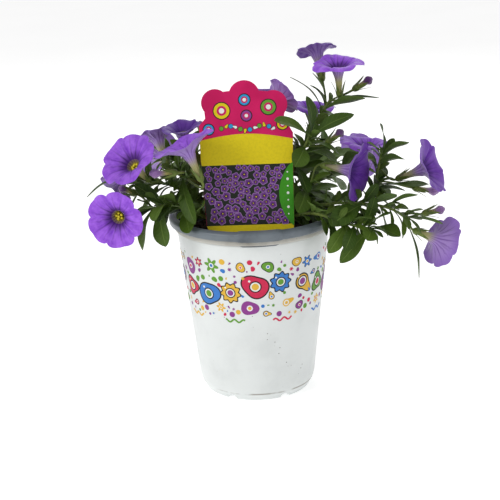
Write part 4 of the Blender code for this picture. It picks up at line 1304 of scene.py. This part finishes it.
def dress_tag():
    """The tag's sheet in the place of its solid: the same outline with finer curves, and rounded lobes."""
    look = Look("tag_sheet", Roughness=0.42, Specular_IOR_Level=0.2)
    clouds = look.noise(look.place(), 60.0, 3.0)
    pink = look.mix(look.ramp(clouds, 0.3, 0.7), colour(206, 26, 96), colour(190, 18, 86))
    material = look.finish(pink, 0.38, look.noise(look.place(), 1600.0), 0.06, 0.05 * MM)
    outline = [(u, v) for u, v in TAG_LEFT]
    for u, v, radius, start, end in TAG_LOBES:
        for k in range(33):
            angle = math.radians(start + (end - start) * k / 32)
            outline.append((u + radius * math.cos(angle), v + radius * math.sin(angle)))
    outline += list(TAG_RIGHT)
    half, depth = TAG_STAKE_HALF / MM, TAG_STAKE_DEPTH / MM
    stake = [(half, 2), (half, -0.6 * depth), (0.6, -depth + 0.6)]
    outline += stake + [(-u, v) for u, v in reversed(stake)]
    count = len(outline)
    points = [TAG_PLANE @ Vector((u * MM, y * MM, v * MM)) for y in (-0.3, 0.3) for u, v in outline]
    faces = [tuple(range(count - 1, -1, -1)), tuple(range(count, 2 * count))]
    faces += [(k, (k + 1) % count, (k + 1) % count + count, k + count) for k in range(count)]
    sheet = piece("tag_sheet", points, faces, material, ["plant_tag"], sharp=30)
    bevel = sheet.modifiers.new("edge", "BEVEL")
    bevel.width, bevel.segments, bevel.limit_method = 0.08 * MM, 2, "ANGLE"


# Looks: the stage


def area_light(name, place, target, size, energy, tint=(1, 1, 1)):
    light = bpy.data.lights.new(name, "AREA")
    light.size, light.energy, light.color = size, energy, tint
    obj = bpy.data.objects.new(name, light)
    obj.location = place
    obj.rotation_euler = (Vector(target) - Vector(place)).to_track_quat("-Z", "Y").to_euler()
    bpy.context.scene.collection.objects.link(obj)


def set_stage():
    """Pale floor, soft lights, and the camera at the photograph's place."""
    scene = bpy.context.scene
    look = Look("floor", Roughness=0.85, Specular_IOR_Level=0.1)
    grain = look.noise(look.place(), 6.0)
    look.shader.inputs["Emission Color"].default_value = (1, 1, 1, 1)
    look.shader.inputs["Emission Strength"].default_value = FLOOR_GLOW
    pale = look.mix(look.ramp(grain, 0.3, 0.7), (0.86, 0.86, 0.86, 1), (0.88, 0.88, 0.88, 1))
    floor_material = look.finish(pale)
    mesh = bpy.data.meshes.new("floor")
    reach = 6.0
    corners = [(x * reach, y * reach, -0.2 * MM) for x, y in ((-1, -1), (1, -1), (1, 1), (-1, 1))]
    mesh.from_pydata(corners, [], [(0, 1, 2, 3)])
    mesh.materials.append(floor_material)
    floor = bpy.data.objects.new("floor", mesh)
    scene.collection.objects.link(floor)
    world = bpy.data.worlds.new("studio")
    world.use_nodes = True
    background = world.node_tree.nodes["Background"]
    background.inputs[0].default_value = (1, 1, 1, 1)
    seen = world.node_tree.nodes.new("ShaderNodeLightPath").outputs["Is Camera Ray"]
    strength = world.node_tree.nodes.new("ShaderNodeMapRange")
    strength.inputs["To Min"].default_value = WORLD_LIGHT
    world.node_tree.links.new(seen, strength.inputs["Value"])
    world.node_tree.links.new(strength.outputs[0], background.inputs[1])
    scene.world = world
    target = (0, 0, 0.12)
    area_light("key", (-1.0, -0.75, 0.95), target, 0.7, KEY_LIGHT, (1, 0.99, 0.97))
    area_light("fill", (0.9, -0.7, 0.5), target, 0.9, KEY_LIGHT * 0.06, (0.97, 0.98, 1))
    area_light("back", (0.2, 0.9, 0.9), target, 0.8, KEY_LIGHT * 0.5)
    camera = bpy.data.cameras.new("photo_view")
    camera.lens = CAMERA_FOCAL / PHOTO_PIXELS * camera.sensor_width
    camera.clip_start = 0.01
    obj = bpy.data.objects.new("photo_view", camera)
    scene.collection.objects.link(obj)
    aim = (Vector(CAMERA_TARGET) - Vector(CAMERA_PLACE)).to_track_quat("-Z", "Y").to_matrix().to_4x4()
    obj.matrix_world = Matrix.Translation(CAMERA_PLACE) @ aim @ Matrix.Rotation(-CAMERA_ROLL, 4, "Z")
    scene.camera = obj
    scene.view_settings.view_transform = "Standard"


def main():
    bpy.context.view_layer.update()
    set_stage()
    dress_pot()
    print_band()
    dress_soil()
    dress_tag()
    print_tag()
    petal, leaf, stem, bud = petal_look(), leaf_look(), stem_look(), bud_look()
    anther = ink_look("anther", colour(222, 206, 60), 0.8)
    for name in BLOOMS:
        corolla(name, petal, anther)
    for name in BUDS:
        dress_bud(name, bud)
    for name, leaves in plant_layout().items():
        dress_leafy_stem(name, leaves, stem, leaf)
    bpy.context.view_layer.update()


main()
